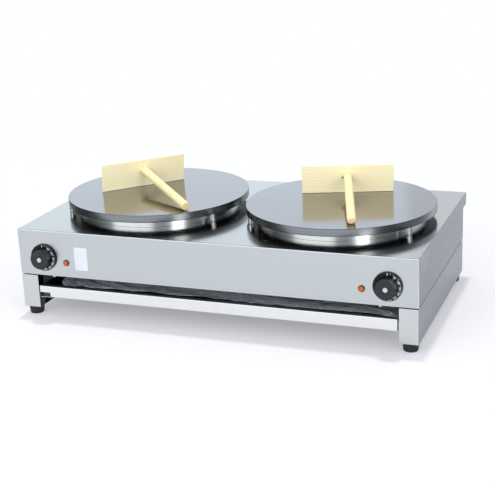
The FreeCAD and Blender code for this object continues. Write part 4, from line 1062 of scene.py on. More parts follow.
@dataclass
class Machine:
    """Sizes that several sub-assemblies share."""

    half_width: float = 430.0
    front: float = -228.5
    casing_rear: float = 216.5
    hood_rear: float = 251.5
    casing_bottom: float = 93.0
    casing_top: float = 191.0
    base_bottom: float = 18.0
    base_top: float = 91.5
    hood_bottom: float = 164.0
    gauge: float = 1.0
    plate_x: float = 210.0
    plate_y: float = 15.5
    knob_x: float = 370.5
    knob_z: float = 133.0
    lamp_x: float = 319.0
    lamp_z: float = 124.0


MACHINE = Machine()


@dataclass
class Casing:
    """The upper housing: top sheet, front sheet, sides and rear spacer."""

    fold_radius: float = 1.3
    fold_tail: float = 0.01
    side_fold: float = 0.7
    side_drop: float = 1.1
    top_gauge: float = 0.6
    seam: float = 0.4
    side_seam: float = 0.6
    corner_reach: float = 1.2
    lower_round: float = 0.9
    spacer_round: float = 1.5
    side_facing: float = 0.3

    @property
    def side_top(self) -> float:
        """The level where the side sheets and the spacer end under the top sheet."""
        return MACHINE.casing_top - self.side_drop - self.seam

    def top_sheet(self) -> Piece:
        """Build the top sheet: a wide section with folded sides, carried along Y."""
        m = MACHINE
        foot = m.casing_top - self.side_drop
        line = rounded_line([(m.half_width, foot), (m.half_width, m.casing_top),
                             (-m.half_width, m.casing_top), (-m.half_width, foot)],
                            [self.side_fold] * 2, 4)
        start = m.front + self.fold_radius + self.seam
        outline = sheet_outline(line, self.top_gauge)
        return add_piece("top_sheet", [extruded(outline, "xz", start, m.hood_rear)])

    def front_sheet(self) -> Piece:
        """Build the front sheet, which turns round both upright corners and over the top."""
        m, radius = MACHINE, self.fold_radius
        tail = m.front + radius + self.corner_reach
        plan = rounded_line([(-m.half_width, tail), (-m.half_width, m.front),
                             (m.half_width, m.front), (m.half_width, tail)], [radius] * 2, 6)
        outer = rounded_line([(radius + self.fold_tail, m.casing_top), (0, m.casing_top),
                              (0, m.casing_bottom), (m.gauge, m.casing_bottom)],
                             [radius, self.lower_round], 6)
        inner = rounded_line([(m.gauge, m.casing_bottom), (m.gauge, m.casing_top - m.gauge),
                              (radius, m.casing_top - m.gauge)], [radius - m.gauge], 6)
        return add_piece("front_sheet", [wall(plan, np.concatenate([outer[:-1], inner]))])

    def side_sheet(self, side: Side) -> Piece:
        """Build one side sheet: a flat strip with a round lower edge, carried along Y."""
        m = MACHINE
        start = m.front + self.fold_radius + self.corner_reach + self.side_seam
        edge, inner = side.value * m.half_width, side.value * (m.half_width - m.gauge)
        line = rounded_line([(edge, self.side_top), (edge, m.casing_bottom),
                             (inner, m.casing_bottom)], [self.lower_round])
        outline = np.concatenate([line, [(inner, self.side_top)]])
        return add_piece(f"{side.label}_side_sheet",
                         [extruded(outline, "xz", start, m.casing_rear - m.gauge)])

    def spacer(self) -> Piece:
        """Build the rear spacer: a wall round three sides, and its floor."""
        m = MACHINE
        plan = rounded_line([(m.half_width, m.casing_rear), (m.half_width, m.hood_rear),
                             (-m.half_width, m.hood_rear), (-m.half_width, m.casing_rear)],
                            [self.spacer_round] * 2)
        section = rounded_line([(0, self.side_top), (0, m.hood_bottom),
                                (m.gauge, m.hood_bottom)], [self.lower_round])
        edge = m.half_width - m.gauge
        floor = np.array([(-edge, m.casing_rear), (edge, m.casing_rear),
                          (edge, m.hood_rear - m.gauge), (-edge, m.hood_rear - m.gauge)])
        return add_piece("rear_spacer", [
            wall(plan, np.concatenate([section, [(m.gauge, self.side_top)]])),
            extruded(floor, "xy", m.hood_bottom, m.hood_bottom + m.gauge)])

    def build(self) -> None:
        """Build and dress the sheets."""
        top = self.top_sheet()
        show(top, "casing", "stainless", TOP_STEEL, ["top_panel"])
        # The top sheet's sideways folds, the side sheets and the spacer take the side steel: the
        # film's blue-grey and painted shade.
        dress_shaded_sides(top, SHADED_SIDE_STEEL, self.side_facing)
        show(self.front_sheet(), "casing", "stainless", FRONT_STEEL, ["front_panel"])
        for side in Side:
            show(self.side_sheet(side), "casing", "stainless_side", SHADED_SIDE_STEEL,
                 [f"{side.label}_side_panel"])
        show(self.spacer(), "casing", "stainless_side", SHADED_SIDE_STEEL, ["rear_hood"])


@dataclass
class LabelPlate:
    """The bare rating label on the front."""

    middle_x: float = -283.5
    middle_z: float = 135.0
    width: float = 30.0
    height: float = 50.0
    thickness: float = 0.3
    corner: float = 2.0
    edge_round: float = 0.08

    def build(self) -> None:
        """Build a thin plate with round corners: its outline carried through its thickness."""
        across, up = self.width / 2 - self.corner, self.height / 2 - self.corner
        corners = [(across, up, 0), (-across, up, 90), (-across, -up, 180), (across, -up, 270)]
        outline = np.concatenate([
            arc((self.middle_x + x, self.middle_z + z), self.corner, start, start + 90)
            for x, z, start in corners])
        front = MACHINE.front
        piece = add_piece("bare_label", [extruded(outline, "xz", front - self.thickness, front)],
                          soft_edge=self.edge_round, flat_faces=False)
        show(piece, "casing", "label", LABEL_WHITE, ["blank_label"])


@dataclass
class Base:
    """The folded channels under the casing, whose ends are the legs."""

    leg_width: float = 39.0
    leg_return: float = 20.0
    corner_round: float = 1.6
    edge_round: float = 0.9
    reveal: float = 1.0
    side_facing: float = 0.8

    def channel(self, side: Side) -> Piece:
        """Build one channel: a wall that wraps both legs, and its two flanges."""
        m = MACHINE
        inner = m.half_width - self.leg_width
        plan = [(inner, m.front + self.leg_return), (inner, m.front), (m.half_width, m.front),
                (m.half_width, m.casing_rear), (inner, m.casing_rear),
                (inner, m.casing_rear - self.leg_return)]
        if side is Side.LEFT:
            plan = [(-x, y) for x, y in plan[::-1]]
        line = rounded_line(plan, [self.corner_round] * 4, 4)
        top = m.base_top - self.reveal
        section = rounded_line([(m.gauge, top), (0, top), (0, m.base_bottom),
                                (m.gauge, m.base_bottom)], [self.edge_round] * 2, 4)
        inset = self.edge_round
        low_x, high_x = sorted(side.value * x for x in (inner + inset, m.half_width - inset))
        flange = np.array([(low_x, m.front + inset), (high_x, m.front + inset),
                           (high_x, m.casing_rear - inset), (low_x, m.casing_rear - inset)])
        flanges = [extruded(flange, "xy", level, level + m.gauge)
                   for level in (m.base_bottom, top - m.gauge)]
        return add_piece(f"{side.label}_leg_channel", [wall(line, section), *flanges])

    def build(self) -> None:
        """Build the channels, with painted shade: their sides are darker than their front and rear
        faces.
        """
        for side in Side:
            piece = self.channel(side)
            show(piece, "casing", "stainless", LEG_STEEL, [f"{side.label}_base_side"])
            # The channels' sideways faces take the darker base steel as painted shade.
            dress_shaded_sides(piece, SHADED_BASE_STEEL, self.side_facing)


@dataclass
class Foot:
    """A tapered rubber foot with a recess for its screw."""

    height: float = 18.0
    top_radius: float = 16.5
    bottom_radius: float = 14.5
    top_round: float = 0.6
    lower_round: float = 2.5
    recess_round: float = 0.5
    recess_radius: float = 6.5
    recess_depth: float = 9.0
    bore_radius: float = 2.7
    x: float = 411.0
    front_y: float = -211.0
    rear_y: float = 199.0

    def build(self) -> None:
        """Build the four feet: a closed section carried round the foot's axis."""
        corners = [(self.bore_radius, self.recess_depth), (self.bore_radius, self.height),
                   (self.top_radius, self.height), (self.bottom_radius, 0.0),
                   (self.recess_radius, 0.0), (self.recess_radius, self.recess_depth),
                   (self.bore_radius, self.recess_depth)]
        radii = [0.0, self.top_round, self.lower_round, self.recess_round, 0.0]
        for side in Side:
            for row, y in (("front", self.front_y), ("rear", self.rear_y)):
                name = f"{row}_{side.label}_foot"
                piece = turned_piece(f"{name}_rubber", corners, radii, 64,
                                     Placement((side.value * self.x, y, 0.0)))
                show(piece, "casing", "rubber", FOOT_RUBBER, [name])


@dataclass
class Drawer:
    """The drip drawer: its face, its pan and the film that lines it."""

    face_half: float = 388.5
    face_bottom: float = 43.5
    face_top: float = 67.5
    face_depth: float = 12.0
    lower_depth: float = 10.0
    top_round: float = 1.6
    bottom_round: float = 1.0
    notch_width: float = 24.0
    notch_height: float = 10.0
    film_left: float = -368.0
    film_right: float = 386.0
    film_front: float = -188.0
    film_rear: float = 177.0
    film_floor: float = 54.0
    film_gauge: float = 0.15
    film_steps: tuple[int, int] = (360, 120)
    film_waves: tuple[Pair, ...] = ((90.0, 3.4), (47.0, 2.6), (26.0, 1.5), (14.0, 0.8), (8.0, 0.4))
    film_rim: float = 25.0
    curl_length: float = 20.0
    curl_radius: float = 9.0

    def face(self) -> Piece:
        """Build the drawer's face.

        A folded outline in (y, z) goes along X. No point lies below the level that the notch
        gives at its x, so the lower left corner is cut away.
        """
        m = MACHINE
        line = rounded_line(
            [(m.front + self.face_depth, self.face_top), (m.front, self.face_top),
             (m.front, self.face_bottom), (m.front + self.lower_depth, self.face_bottom)],
            [self.top_round, self.bottom_round])
        outline = sheet_outline(line, m.gauge)
        outline = np.concatenate([outline, outline[:1]])
        notch = self.notch_width - self.face_half
        stations = np.array([-self.face_half, notch, notch, self.face_half])
        level = np.array([self.face_bottom + self.notch_height] * 2 + [self.face_bottom] * 2)
        points = np.empty((4, len(outline), 3))
        points[:, :, 0] = stations[:, None]
        points[:, :, 1] = outline[:, 0]
        points[:, :, 2] = np.maximum(outline[:, 1], level[:, None])
        return add_piece("drawer_face", [Patch(points)])

    def film(self) -> Piece:
        """Build the crumpled film in the pan.

        Its height is a sum of folded waves, each a triangle wave of a slanting direction, so
        the film is made of flat facets with straight creases. Its left edge rolls up: there the
        place and the rise are the sine and one less the cosine of the angle turned.
        """
        length = self.film_right - self.film_left
        along, y = np.meshgrid(np.linspace(0.0, length, self.film_steps[0]),
                               np.linspace(self.film_front, self.film_rear, self.film_steps[1]),
                               indexing="ij")
        chance = np.random.default_rng(7)
        height = np.zeros_like(along)
        for size, share in self.film_waves:
            turn = chance.uniform(-0.45, 0.45) + math.pi / 2
            start = chance.uniform(0, 2 * np.pi)
            bend = chance.uniform(0.3, 0.9) * np.sin((along + 2 * y) / (size * 2.3) + start)
            phase = (along * np.cos(turn) + y * np.sin(turn)) / size + start + bend
            height += share * np.abs(2 * (phase - np.floor(phase + 0.5)))
        height *= np.clip(np.minimum(along, length - along) / self.film_rim, 0.15, 1.0)
        turned = np.clip(self.curl_length - along, 0.0, None) / self.curl_radius
        curled = self.curl_length - self.curl_radius * np.sin(turned)
        x = self.film_left + np.where(turned > 0, curled, along)
        rise = self.curl_radius * (1 - np.cos(turned))
        points = np.stack([x, y, self.film_floor + height + rise], axis=-1)
        piece = add_piece("tray_film_lining", [Patch(points, False)], sharp_above=50.0,
                          flat_faces=False)
        skin = piece.modifiers.new("film_gauge", "SOLIDIFY")
        skin.thickness = self.film_gauge * MM
        skin.offset = -1.0
        return piece

    def build(self) -> None:
        """Build and dress the drawer."""
        show(self.face(), "drawer", "stainless", DRAWER_STEEL, ["drawer_front"])
        show(self.film(), "drawer", "foil", TRAY_FILM, ["tray_liner"])


@dataclass
class Griddle:
    """One round plate with the ring and the posts under it."""

    side: Side
    plate_radius: float = 200.0
    plate_bottom: float = 207.5
    plate_top: float = 223.0
    plate_round: float = 0.5
    plate_rings: tuple[float, ...] = (0.25, 0.5, 0.75, 0.985)
    ring_radius: float = 178.0
    ring_height: float = 10.0
    ring_gauge: float = 1.2
    ring_flange: float = 7.0
    ring_rounds: tuple[float, ...] = (0.4, 0.55, 0.55, 0.3, 0.0)
    post_radius: float = 6.0
    post_circle: float = 193.0
    neck_depth: float = 1.6
    neck_height: float = 1.4
    post_rounds: tuple[float, ...] = (0.2, 0.2, 0.4, 0.6)
    post_angles: tuple[float, ...] = (-30.0, 90.0, 210.0)

    @property
    def middle(self) -> Point:
        """Where the plate's axis meets the floor."""
        return self.side.value * MACHINE.plate_x, MACHINE.plate_y, 0.0

    def plate(self) -> Piece:
        """Build the plate: half of its section carried round its axis."""
        radius, low, high = self.plate_radius, self.plate_bottom, self.plate_top
        line = rounded_line([(0, high), (radius, high), (radius, low), (0, low)],
                            [self.plate_round] * 2)
        rings = [(share * radius, high) for share in self.plate_rings]
        back = [(share * radius, low) for share in self.plate_rings[::-1]]
        profile = np.concatenate([line[:1], rings, line[1:-1], back, line[-1:]])
        return add_piece(f"{self.side.label}_plate", [revolved(profile, 256)],
                         Placement(self.middle))

    def ring(self) -> Piece:
        """Build the burner ring: a closed channel section carried round the plate's axis."""
        outer, base = self.ring_radius, MACHINE.casing_top
        inner, flange = outer - self.ring_gauge, outer - self.ring_flange
        lip, top = base + self.ring_gauge, base + self.ring_height
        corners = [(flange, base), (outer, base), (outer, top), (inner, top), (inner, lip),
                   (flange, lip), (flange, base)]
        return turned_piece(f"{self.side.label}_chromed_ring", corners, self.ring_rounds, 256,
                            Placement(self.middle))

    def posts(self) -> Piece:
        """Build the three posts: stems with small chamfers, carried round their axes."""
        low, high, radius = MACHINE.casing_top, self.plate_bottom, self.post_radius
        neck, lip = radius - self.neck_depth, low + self.neck_height
        line = rounded_line([(0, low), (neck, low), (neck, lip), (radius, lip), (radius, high),
                             (0, high)], self.post_rounds, 3)
        stem = revolved(line, 48)
        stems = [moved(stem, (self.middle[0] + self.post_circle * math.cos(angle),
                              self.middle[1] + self.post_circle * math.sin(angle), 0.0))
                 for angle in np.radians(self.post_angles)]
        return add_piece(f"{self.side.label}_turned_posts", stems)

    def build(self) -> None:
        """Build and dress the griddle."""
        label = self.side.label
        # The plate's rim edge lines are painted shade, and its dark underside is partly painted
        # shade.
        iron = TurnedMetal(f"{label}_polished_iron", (0.287, 0.272, 0.268), (0.268, 0.254, 0.25),
                           0.10, middle=self.middle, edge_colour=(0.25, 0.275, 0.295),
                           edge_roughness=0.24, edge_below=self.plate_top - 0.1,
                           under_below=self.plate_bottom + 0.2)
        show(self.plate(), "casing", "cast_iron", iron, [f"{label}_griddle_plate"])
        show(self.ring(), "casing", "chrome_ring", CHROME_PLATE, [f"{label}_burner_ring"])
        show(self.posts(), "casing", "post_steel", POST_METAL, [f"{label}_support_posts"])


@dataclass
class Control:
    """One knob with its dial and marks, and the lamp beside it."""

    side: Side
    dial_radius: float = 29.0
    dial_low: float = 1.0
    dial_high: float = 6.0
    dish_radius: float = 26.0
    dish_depth: float = 2.2
    dial_rounds: tuple[float, ...] = (0.5, 0.3, 0.4, 1.8, 0.0)
    bore_radius: float = 7.0
    cap_radius: float = 22.0
    cap_front_radius: float = 20.5
    cap_top: float = 23.0
    cap_steps: int = 144
    cap_rounds: tuple[float, ...] = (0.3, 1.8, 0.4, 0.3)
    cap_edge: float = 0.3
    cone_from: float = 0.4
    cone_to: float = 2.2
    cone_rings: int = 9
    hollow_radius: float = 7.0
    hollow_floor: float = 6.2
    hollow_depth: float = 0.8
    facet_distance: float = 17.5
    facet_depth: float = 9.0
    facet_angle: float = 40.0
    facet_reach: float = 0.2
    bezel_radius: float = 7.0
    bezel_height: float = 1.5
    lens_radius: float = 5.8
    lens_height: float = 4.3
    lens_round: float = 2.2
    inlay_radius: float = 4.8
    inlay_height: float = 0.35
    long_mark: Point = (25.8, 2.0, 0.55)
    short_mark: Point = (27.6, 0.9, 0.3)
    mark_rise: float = 0.06
    mark_round: float = 0.05
    mark_step: float = 12.5
    mark_count: int = 16
    figures: tuple[str, ...] = ("50", "100", "150", "200", "250", "300")
    figure_start: float = -35.0
    figure_step: float = 27.0
    figure_size: float = 5.8
    figure_circle: float = 24.4
    figure_rise: float = 0.05
    figure_gap: float = 0.03

    def place(self, x: float, z: float) -> Placement:
        """Return the frame of a turned piece on the front, whose Z axis points forward."""
        return Placement((self.side.value * x, MACHINE.front, z),
                         Matrix.Rotation(math.radians(90.0), 3, "X"))

    @property
    def knob_place(self) -> Placement:
        """The knob's frame."""
        return self.place(MACHINE.knob_x, MACHINE.knob_z)

    @property
    def lamp_place(self) -> Placement:
        """The lamp's frame."""
        return self.place(MACHINE.lamp_x, MACHINE.lamp_z)

    def dial(self) -> Piece:
        """Build the dial: a shallow dish carried round the knob's axis."""
        bore, dish, rim = self.bore_radius, self.dish_radius, self.dial_radius
        low, high = self.dial_low, self.dial_high
        back = high - self.dish_depth
        corners = [(bore, back), (dish, back), (dish, low), (rim, low), (rim, high),
                   (bore, high), (bore, back)]
        return turned_piece(f"{self.side.label}_dial", corners, self.dial_rounds, 128,
                            self.knob_place)

    def cap(self) -> Piece:
        """Build the cap.

        Its side is a cone with a round front edge. Near its front the radius at an angle is
        no more than the facet's distance over the cosine of the angle to the facet.
        """
        low, high = self.dial_high, self.cap_top
        floor = high - self.hollow_depth
        line = rounded_line([(0.0, low), (self.cap_radius, low), (self.cap_front_radius, high),
                             (self.hollow_radius, high), (self.hollow_floor, floor),
                             (0.0, floor)], self.cap_rounds)
        heights = np.linspace(low + self.cone_from, high - self.cone_to, self.cone_rings)
        slope = (self.cap_radius - self.cap_front_radius) / (high - low)
        cone = np.stack([self.cap_radius - slope * (heights - low), heights], axis=-1)
        start = int(np.argmax(line[:, 1] > low + self.cap_rounds[0]))
        profile = np.concatenate([line[:start], cone, line[start:]])
        points = revolved(profile, self.cap_steps).points
        angle = np.radians(np.linspace(0, 360, self.cap_steps + 1) - self.facet_angle)
        facing = np.cos(angle)
        reach = np.where(facing > self.facet_reach,
                         self.facet_distance / np.maximum(facing, self.facet_reach), np.inf)
        radius = np.hypot(points[:, :, 0], points[:, :, 1])
        limited = np.where(points[:, :, 2] > high - self.facet_depth,
                           np.minimum(radius, reach[None, :]), radius)
        scale = np.divide(limited, radius, out=np.ones_like(radius), where=radius > 0)
        points[:, :, :2] *= scale[:, :, None]
        return add_piece(f"{self.side.label}_cap", [Patch(points)], self.knob_place, 38.0,
                         soft_edge=self.cap_edge)

    def marks(self) -> Piece:
        """Build the dial's short bars: thin blocks turned round the knob's axis."""
        patches = []
        for number in range(self.mark_count):
            angle = math.radians(90 - self.mark_step * number)
            reach, length, width = self.short_mark if number else self.long_mark
            bar = rounded_block((length, width, self.mark_rise), self.mark_round, 2)
            spot = Placement((0.0, 0.0, self.dial_high), Matrix.Rotation(angle, 3, "Z"))
            patches.append(Patch(spot.of(moved(bar, (reach, 0.0, 0.0)).points)))
        return add_piece(f"{self.side.label}_dial_marks", patches, self.knob_place,
                         flat_faces=False)

    def numbers(self) -> Piece:
        """Build the dial's numbers: raised figures whose tops point outwards."""
        shape = bmesh.new()
        stand = Matrix.Translation(Vector(self.knob_place.shift) * MM)
        stand = stand @ self.knob_place.turn.to_4x4()
        out = Vector((0.0, self.figure_circle, self.dial_high + self.figure_gap)) * MM
        for index, figures in enumerate(self.figures):
            angle = math.radians(self.figure_start - self.figure_step * index)
            curve = bpy.data.curves.new("figures", "FONT")
            curve.body = figures
            curve.size = self.figure_size * MM
            curve.extrude = self.figure_rise * MM
            curve.align_x = "CENTER"
            curve.align_y = "CENTER"
            source = bpy.data.objects.new("figures", curve)
            flat = bpy.data.meshes.new_from_object(source)
            flat.transform(stand @ (Matrix.Rotation(angle, 4, "Z") @ Matrix.Translation(out)))
            shape.from_mesh(flat)
            bpy.data.objects.remove(source)
            bpy.data.curves.remove(curve)
            bpy.data.meshes.remove(flat)
        mesh = bpy.data.meshes.new(f"{self.side.label}_dial_numbers")
        shape.to_mesh(mesh)
        shape.free()
        close_mesh(mesh)
        piece = bpy.data.objects.new(mesh.name, mesh)
        bpy.context.scene.collection.objects.link(piece)
        return piece

    def inlay(self) -> Piece:
        """Build the plain round inlay in the middle of the cap."""
        floor = self.cap_top - self.hollow_depth
        top, radius = floor + self.inlay_height, self.inlay_radius
        return turned_piece(f"{self.side.label}_cap_inlay", [
            (0.0, floor), (radius, floor), (radius, top), (0.0, top)], [0.0, 0.2], 48,
            self.knob_place, flat_faces=False)

    def lens(self) -> Piece:
        """Build the lamp's cover: a low dome carried round its axis."""
        radius, top = self.lens_radius, self.lens_height
        return turned_piece(f"{self.side.label}_lens", [
            (0.0, 0.0), (radius, 0.0), (radius, top), (0.0, top)], [0.0, self.lens_round], 64,
            self.lamp_place, flat_faces=False)

    def bezel(self) -> Piece:
        """Build the ring that holds the lens."""
        inner, outer, top = self.lens_radius, self.bezel_radius, self.bezel_height
        return turned_piece(f"{self.side.label}_bezel", [
            (inner, 0.0), (outer, 0.0), (outer, top), (inner, top), (inner, 0.0)],
            [0.0, 0.5, 0.3], 64, self.lamp_place, flat_faces=False)

    def build(self) -> None:
        """Build and dress the control."""
        label = self.side.label
        body = f"{label}_knob"
        show(self.dial(), body, "black_plastic", DIAL_BLACK, [f"{label}_knob_dial"])
        show(self.cap(), body, "black_cap", CAP_BLACK, [f"{label}_knob_cap"])
        show(self.marks(), body, "label", MARK_WHITE)
        show(self.numbers(), body, "label", MARK_WHITE)
        show(self.inlay(), body, "label", INLAY_GREY)
        amber = AmberLens(f"{label}_amber", middle=self.lamp_place.shift)
        show(self.lens(), "casing", "amber", amber, [f"{label}_lamp_lens"])
        show(self.bezel(), "casing", "black_cap", BEZEL_BROWN)


@dataclass
class Spreader:
    """A wooden batter spreader: a board with a round handle that slopes to the plate."""

    side: Side
    shift_x: float
    shift_y: float
    angle: float
    end_round: float
    tip_round: float
    wood: Pine
    handle_wood: Pine
    board_length: float = 196.0
    board_height: float = 62.0
    board_thickness: float = 5.0
    board_round: float = 1.0
    handle_radius: float = 9.0
    handle_length: float = 238.0
    handle_level: float = 38.0
    handle_edge: float = 0.5
    rest_level: float = 223.3

    @property
    def placement(self) -> Placement:
        """The frame whose X axis runs along the board's lower front edge.

        Its turn is the tilt, so that both ends touch down, and then the spreader's angle.
        """
        rise = self.handle_level - self.handle_radius + self.end_round
        reach = self.handle_length - self.end_round
        tilt = math.acos(self.end_round / math.hypot(rise, reach)) - math.atan2(reach, rise)
        turn = Matrix.Rotation(math.radians(self.angle), 3, "Z") @ Matrix.Rotation(tilt, 3, "X")
        return Placement((self.side.value * MACHINE.plate_x + self.shift_x,
                          MACHINE.plate_y + self.shift_y, self.rest_level), turn)

    def board(self) -> Piece:
        """Build the board: a block with round edges."""
        half = (self.board_length / 2, self.board_thickness / 2, self.board_height / 2)
        block = moved(rounded_block(half, self.board_round), (0.0, half[1], half[2]))
        return add_piece(f"{self.side.label}_board", [block], self.placement)

    def handle(self) -> Piece:
        """Build the handle: a rod with a rounded end, carried round its own axis."""
        radius, length = self.handle_radius, self.handle_length
        line = rounded_line([(0.0, 0.0), (radius, 0.0), (radius, length), (0.0, length)],
                            [self.handle_edge, self.tip_round], 8)
        points = revolved(line, 64).points
        along = np.stack([points[:, :, 0], -points[:, :, 2],
                          points[:, :, 1] + self.handle_level], axis=-1)
        return add_piece(f"{self.side.label}_handle", [Patch(along)], self.placement)

    def build(self) -> None:
        """Build and dress the spreader."""
        body = f"{self.side.label}_spreader"
        show(self.board(), body, "pine", self.wood, [f"{body}_board"])
        show(self.handle(), body, "pine", self.handle_wood, [f"{body}_handle"])


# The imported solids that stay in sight, some of them one for each side

CARRIED: dict[Finish, tuple[str, ...]] = {
    REAR_STEEL: ("rear_panel", "base_rear_panel"),
    GALVANISED: ("bottom_cover",),
    SHADED_TRAY_STEEL: ("drawer_tray",),
    IVORY: ("terminal_block",),
    DIAL_BLACK: ("cable_gland", "gland_nut"),
    BRASS_METAL: ("earth_stud",),
    ZINC_PLATE: ("casing_screws", "foot_screws", "post_screws", "thermostat_screws",
                 "clamp_studs", "clamp_nuts"),
}
CARRIED_PAIRS: dict[str, Finish] = {
    "drawer_rail": LEG_STEEL, "heat_shield": GALVANISED, "heating_element": DARK_SHEATH,
    "element_clamp": ZINC_PLATE, "sensor_bulb": COPPER_TUBE, "thermostat": IVORY,
    "spindle": ZINC_PLATE, "lamp_body": DIAL_BLACK,
}


def dress_carried() -> None:
    """Give every solid that stays in sight its finish."""
    carried = [(name, finish) for finish, names in CARRIED.items() for name in names]
    carried += [(f"{side.label}_{name}", finish)
                for name, finish in CARRIED_PAIRS.items() for side in Side]
    for name, finish in carried:
        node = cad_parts[name]
        node.data.materials.clear()
        node.data.materials.append(dressed(finish))
        LOG.info("%s keeps its solid, %s", name, finish.name)


# Stage


@dataclass(frozen=True)
class Lamp:
    """A soft rectangular lamp, which the camera doesn't see.

    Its places and its size are in metres, and its power in watts. Polished metal shows it
    where mirrored is set.
    """

    name: str
    at: Point
    target: Point
    size: Pair
    power: float
    colour: Colour = WHITE
    mirrored: bool = True

    def build(self) -> None:
        """Hang the lamp."""
        light = bpy.data.lights.new(self.name, "AREA")
        light.shape = "RECTANGLE"
        light.size, light.size_y = self.size
        light.energy = self.power
        light.color = self.colour
        lamp = bpy.data.objects.new(self.name, light)
        lamp.location = self.at
        ahead = Vector(self.target) - Vector(self.at)
        lamp.rotation_euler = ahead.to_track_quat("-Z", "Y").to_euler()
        lamp.visible_camera = False
        lamp.visible_glossy = self.mirrored
        bpy.context.scene.collection.objects.link(lamp)


LAMPS = (
    Lamp("key_lamp", (-0.62, 1.85, 12.0), (0.0, 0.0, 0.1), (0.85, 0.85), 730.0, mirrored=False),
    Lamp("front_left_softbox", (-1.0, -3.1, 1.3), (0.0, 0.0, 0.1), (3.5, 2.0), 31.0),
    Lamp("front_fill", (-0.2, -3.4, 1.8), (0.0, 0.0, 0.2), (2.4, 1.6), 25.0, mirrored=False),
    Lamp("front_right_softbox", (2.3, -2.2, 1.2), (0.0, 0.0, 0.1), (0.8, 1.8), 21.0),
    Lamp("rear_softbox", (-2.0, 3.4, 1.4), (0.0, 0.0, 0.2), (3.2, 1.8), 6.5, (0.62, 0.80, 1.0)),
)


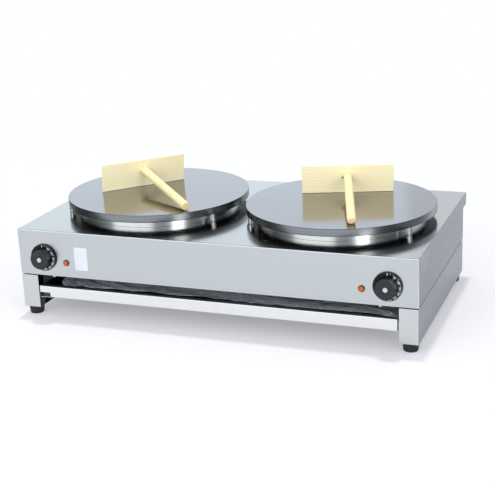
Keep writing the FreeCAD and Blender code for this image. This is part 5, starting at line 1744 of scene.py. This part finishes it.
@dataclass
class Stage:
    """Floor, world, lamps and camera."""

    floor_half: float = 12.0
    floor_colour: Colour = (0.45, 0.45, 0.457)
    floor_shade: Colour = (0.43, 0.43, 0.437)
    floor_lift: Colour = (0.315, 0.315, 0.335)
    near_floor: float = 1.0
    far_floor: float = 2.2
    sky_for_light: float = 0.92
    front_sky: float = 0.42
    sky_in_metal: Colour = (0.96, 1.04, 1.14)
    sky_colour: Colour = (0.97, 0.98, 1.03)
    dim_from: float = 0.9
    dim_width: float = 0.15
    dim_glow: float = 0.10
    lens: float = 85.0
    sensor: float = 36.0
    eye: Point = (877.0, -2258.0, 896.0)
    azimuth: float = 21.20
    elevation: float = 17.82
    roll: float = -2.44

    @staticmethod
    def seen(bench: Bench) -> Socket:
        """Return one for rays from the camera, from glossy surfaces and through clear ones."""
        path = bench.add("LightPath").outputs
        seen = bench.math("MAXIMUM", path["Is Camera Ray"], path["Is Glossy Ray"])
        return bench.math("MAXIMUM", seen, path["Is Transmission Ray"])

    @staticmethod
    def sideways(bench: Bench, place: Socket) -> Socket:
        """Return one for places low to the left or right, where dark cloths hang.

        It compares the parts of the direction to the place: how far it goes along X, and how
        little it rises.
        """
        way = bench.add("VectorMath", {0: place}, operation="NORMALIZE").outputs[0]
        parts = bench.add("SeparateXYZ", {0: way}).outputs
        side = bench.span(bench.math("ABSOLUTE", parts["X"]), 0.76, 0.95)
        return bench.times(side, bench.span(parts["Z"], 0.45, 0.65, 1.0, 0.0))

    def floor(self) -> None:
        """Build the floor: a plain pale sheet that also glows a little where it is looked at."""
        half = self.floor_half / MM
        grid = np.stack(np.meshgrid([-half, half], [-half, half], indexing="ij"), axis=-1)
        points = np.concatenate([grid, np.zeros((2, 2, 1))], axis=-1)
        piece = add_piece("floor", [Patch(points, False)], flat_faces=False)
        if piece.data.polygons[0].normal.z < 0:
            piece.data.flip_normals()
        paint = Paint("pale_floor")
        cloud = paint.effect(smudges(), {"Scale": 1.5, "Cover": 0.5})["Mask"]
        tone = paint.wash(cloud, 0.05, self.floor_colour, self.floor_shade)
        seen = self.seen(paint)
        distance = paint.length(paint.place)
        far = paint.span(distance, self.near_floor, self.far_floor)
        beyond = paint.span(distance, self.dim_from, self.dim_from + self.dim_width)
        glossy = paint.add("LightPath").outputs["Is Glossy Ray"]
        dim = paint.times(paint.times(self.sideways(paint, paint.place), beyond), glossy)
        tone = paint.blend(dim, paint.wash(far, seen, tone, BLACK), BLACK)
        glow = paint.blend(dim, paint.blend(far, self.floor_lift, WHITE), (self.dim_glow,) * 3)
        piece.data.materials.append(paint.shaded({
            "Base Color": tone, "Roughness": 0.9, "Specular IOR Level": 0.0,
            "Emission Color": glow, "Emission Strength": seen}))

    def world(self) -> None:
        """Make the surroundings white to the eye and dimmer as a light."""
        world = bpy.data.worlds.new("white_room")
        world.use_nodes = True
        bpy.context.scene.world = world
        bench = Bench(world.node_tree)
        glossy = bench.add("LightPath").outputs["Is Glossy Ray"]
        tone = bench.blend(self.seen(bench), self.sky_colour, WHITE)
        way = bench.add("TexCoord").outputs["Generated"]
        in_front = bench.times(bench.span(bench.part(way, "Y"), -0.30, 0.10, 1.0, 0.0),
                               bench.span(bench.part(way, "Z"), 0.55, 0.75, 1.0, 0.0))
        strength = bench.span(self.seen(bench), 0.0, 1.0, self.sky_for_light, 1.0)
        for place, level in ((in_front, self.front_sky),
                             (self.sideways(bench, way), self.dim_glow)):
            strength = bench.span(bench.times(place, glossy), 0.0, 1.0, strength, level)
        bench.fill(world.node_tree.nodes["Background"].inputs, {
            "Color": bench.blend(glossy, tone, self.sky_in_metal), "Strength": strength})

    def camera(self) -> None:
        """Set up the camera: back points from the machine to the eye, and roll turns the view."""
        azimuth, elevation, roll = (math.radians(angle) for angle in
                                    (self.azimuth, self.elevation, self.roll))
        back = Vector((math.sin(azimuth) * math.cos(elevation),
                       -math.cos(azimuth) * math.cos(elevation), math.sin(elevation)))
        right = (-back).cross(Vector((0, 0, 1))).normalized()
        up = right.cross(-back)
        rolled_right = math.cos(roll) * right + math.sin(roll) * up
        rolled_up = -math.sin(roll) * right + math.cos(roll) * up
        lens = bpy.data.cameras.new("view")
        lens.lens = self.lens
        lens.sensor_width = self.sensor
        lens.sensor_fit = "HORIZONTAL"
        lens.clip_start = 0.05
        lens.clip_end = 100.0
        camera = bpy.data.objects.new("view", lens)
        turn = Matrix((rolled_right, rolled_up, back)).transposed()
        camera.matrix_world = Matrix.Translation(Vector(self.eye) * MM) @ turn.to_4x4()
        bpy.context.scene.collection.objects.link(camera)
        bpy.context.scene.camera = camera

    def build(self) -> None:
        """Set the whole stage."""
        bpy.context.scene.view_settings.view_transform = "Standard"
        self.floor()
        self.world()
        for lamp in LAMPS:
            lamp.build()
        self.camera()


def main() -> None:
    """Build the machine piece by piece."""
    logging.basicConfig(level=logging.INFO, format="%(name)s %(message)s")
    for part in (Casing(), LabelPlate(), Base(), Foot(), Drawer()):
        part.build()
    for side in Side:
        Griddle(side).build()
        Control(side).build()
    handle = Pine("handle_pine", (0.85, 0.71, 0.40), (0.68, 0.50, 0.25),
                  grain_turn=(0.0, 0.0, 90.0), ring_width=3.2, end_level=-237.6)
    Spreader(Side.LEFT, -49.0, 27.0, 46.5, 2.0, 2.0, Pine("left_board_pine"), handle).build()
    Spreader(Side.RIGHT, -5.0, 69.0, 17.5, 8.0, 6.0,
             Pine("right_board_pine", pith=(0.0, 90.0, -20.0), knot=(-7.0, 0.0, 34.0),
                  knot_size=3.2), handle).build()
    dress_carried()
    Stage().build()


if __name__ == "__main__":
    main()
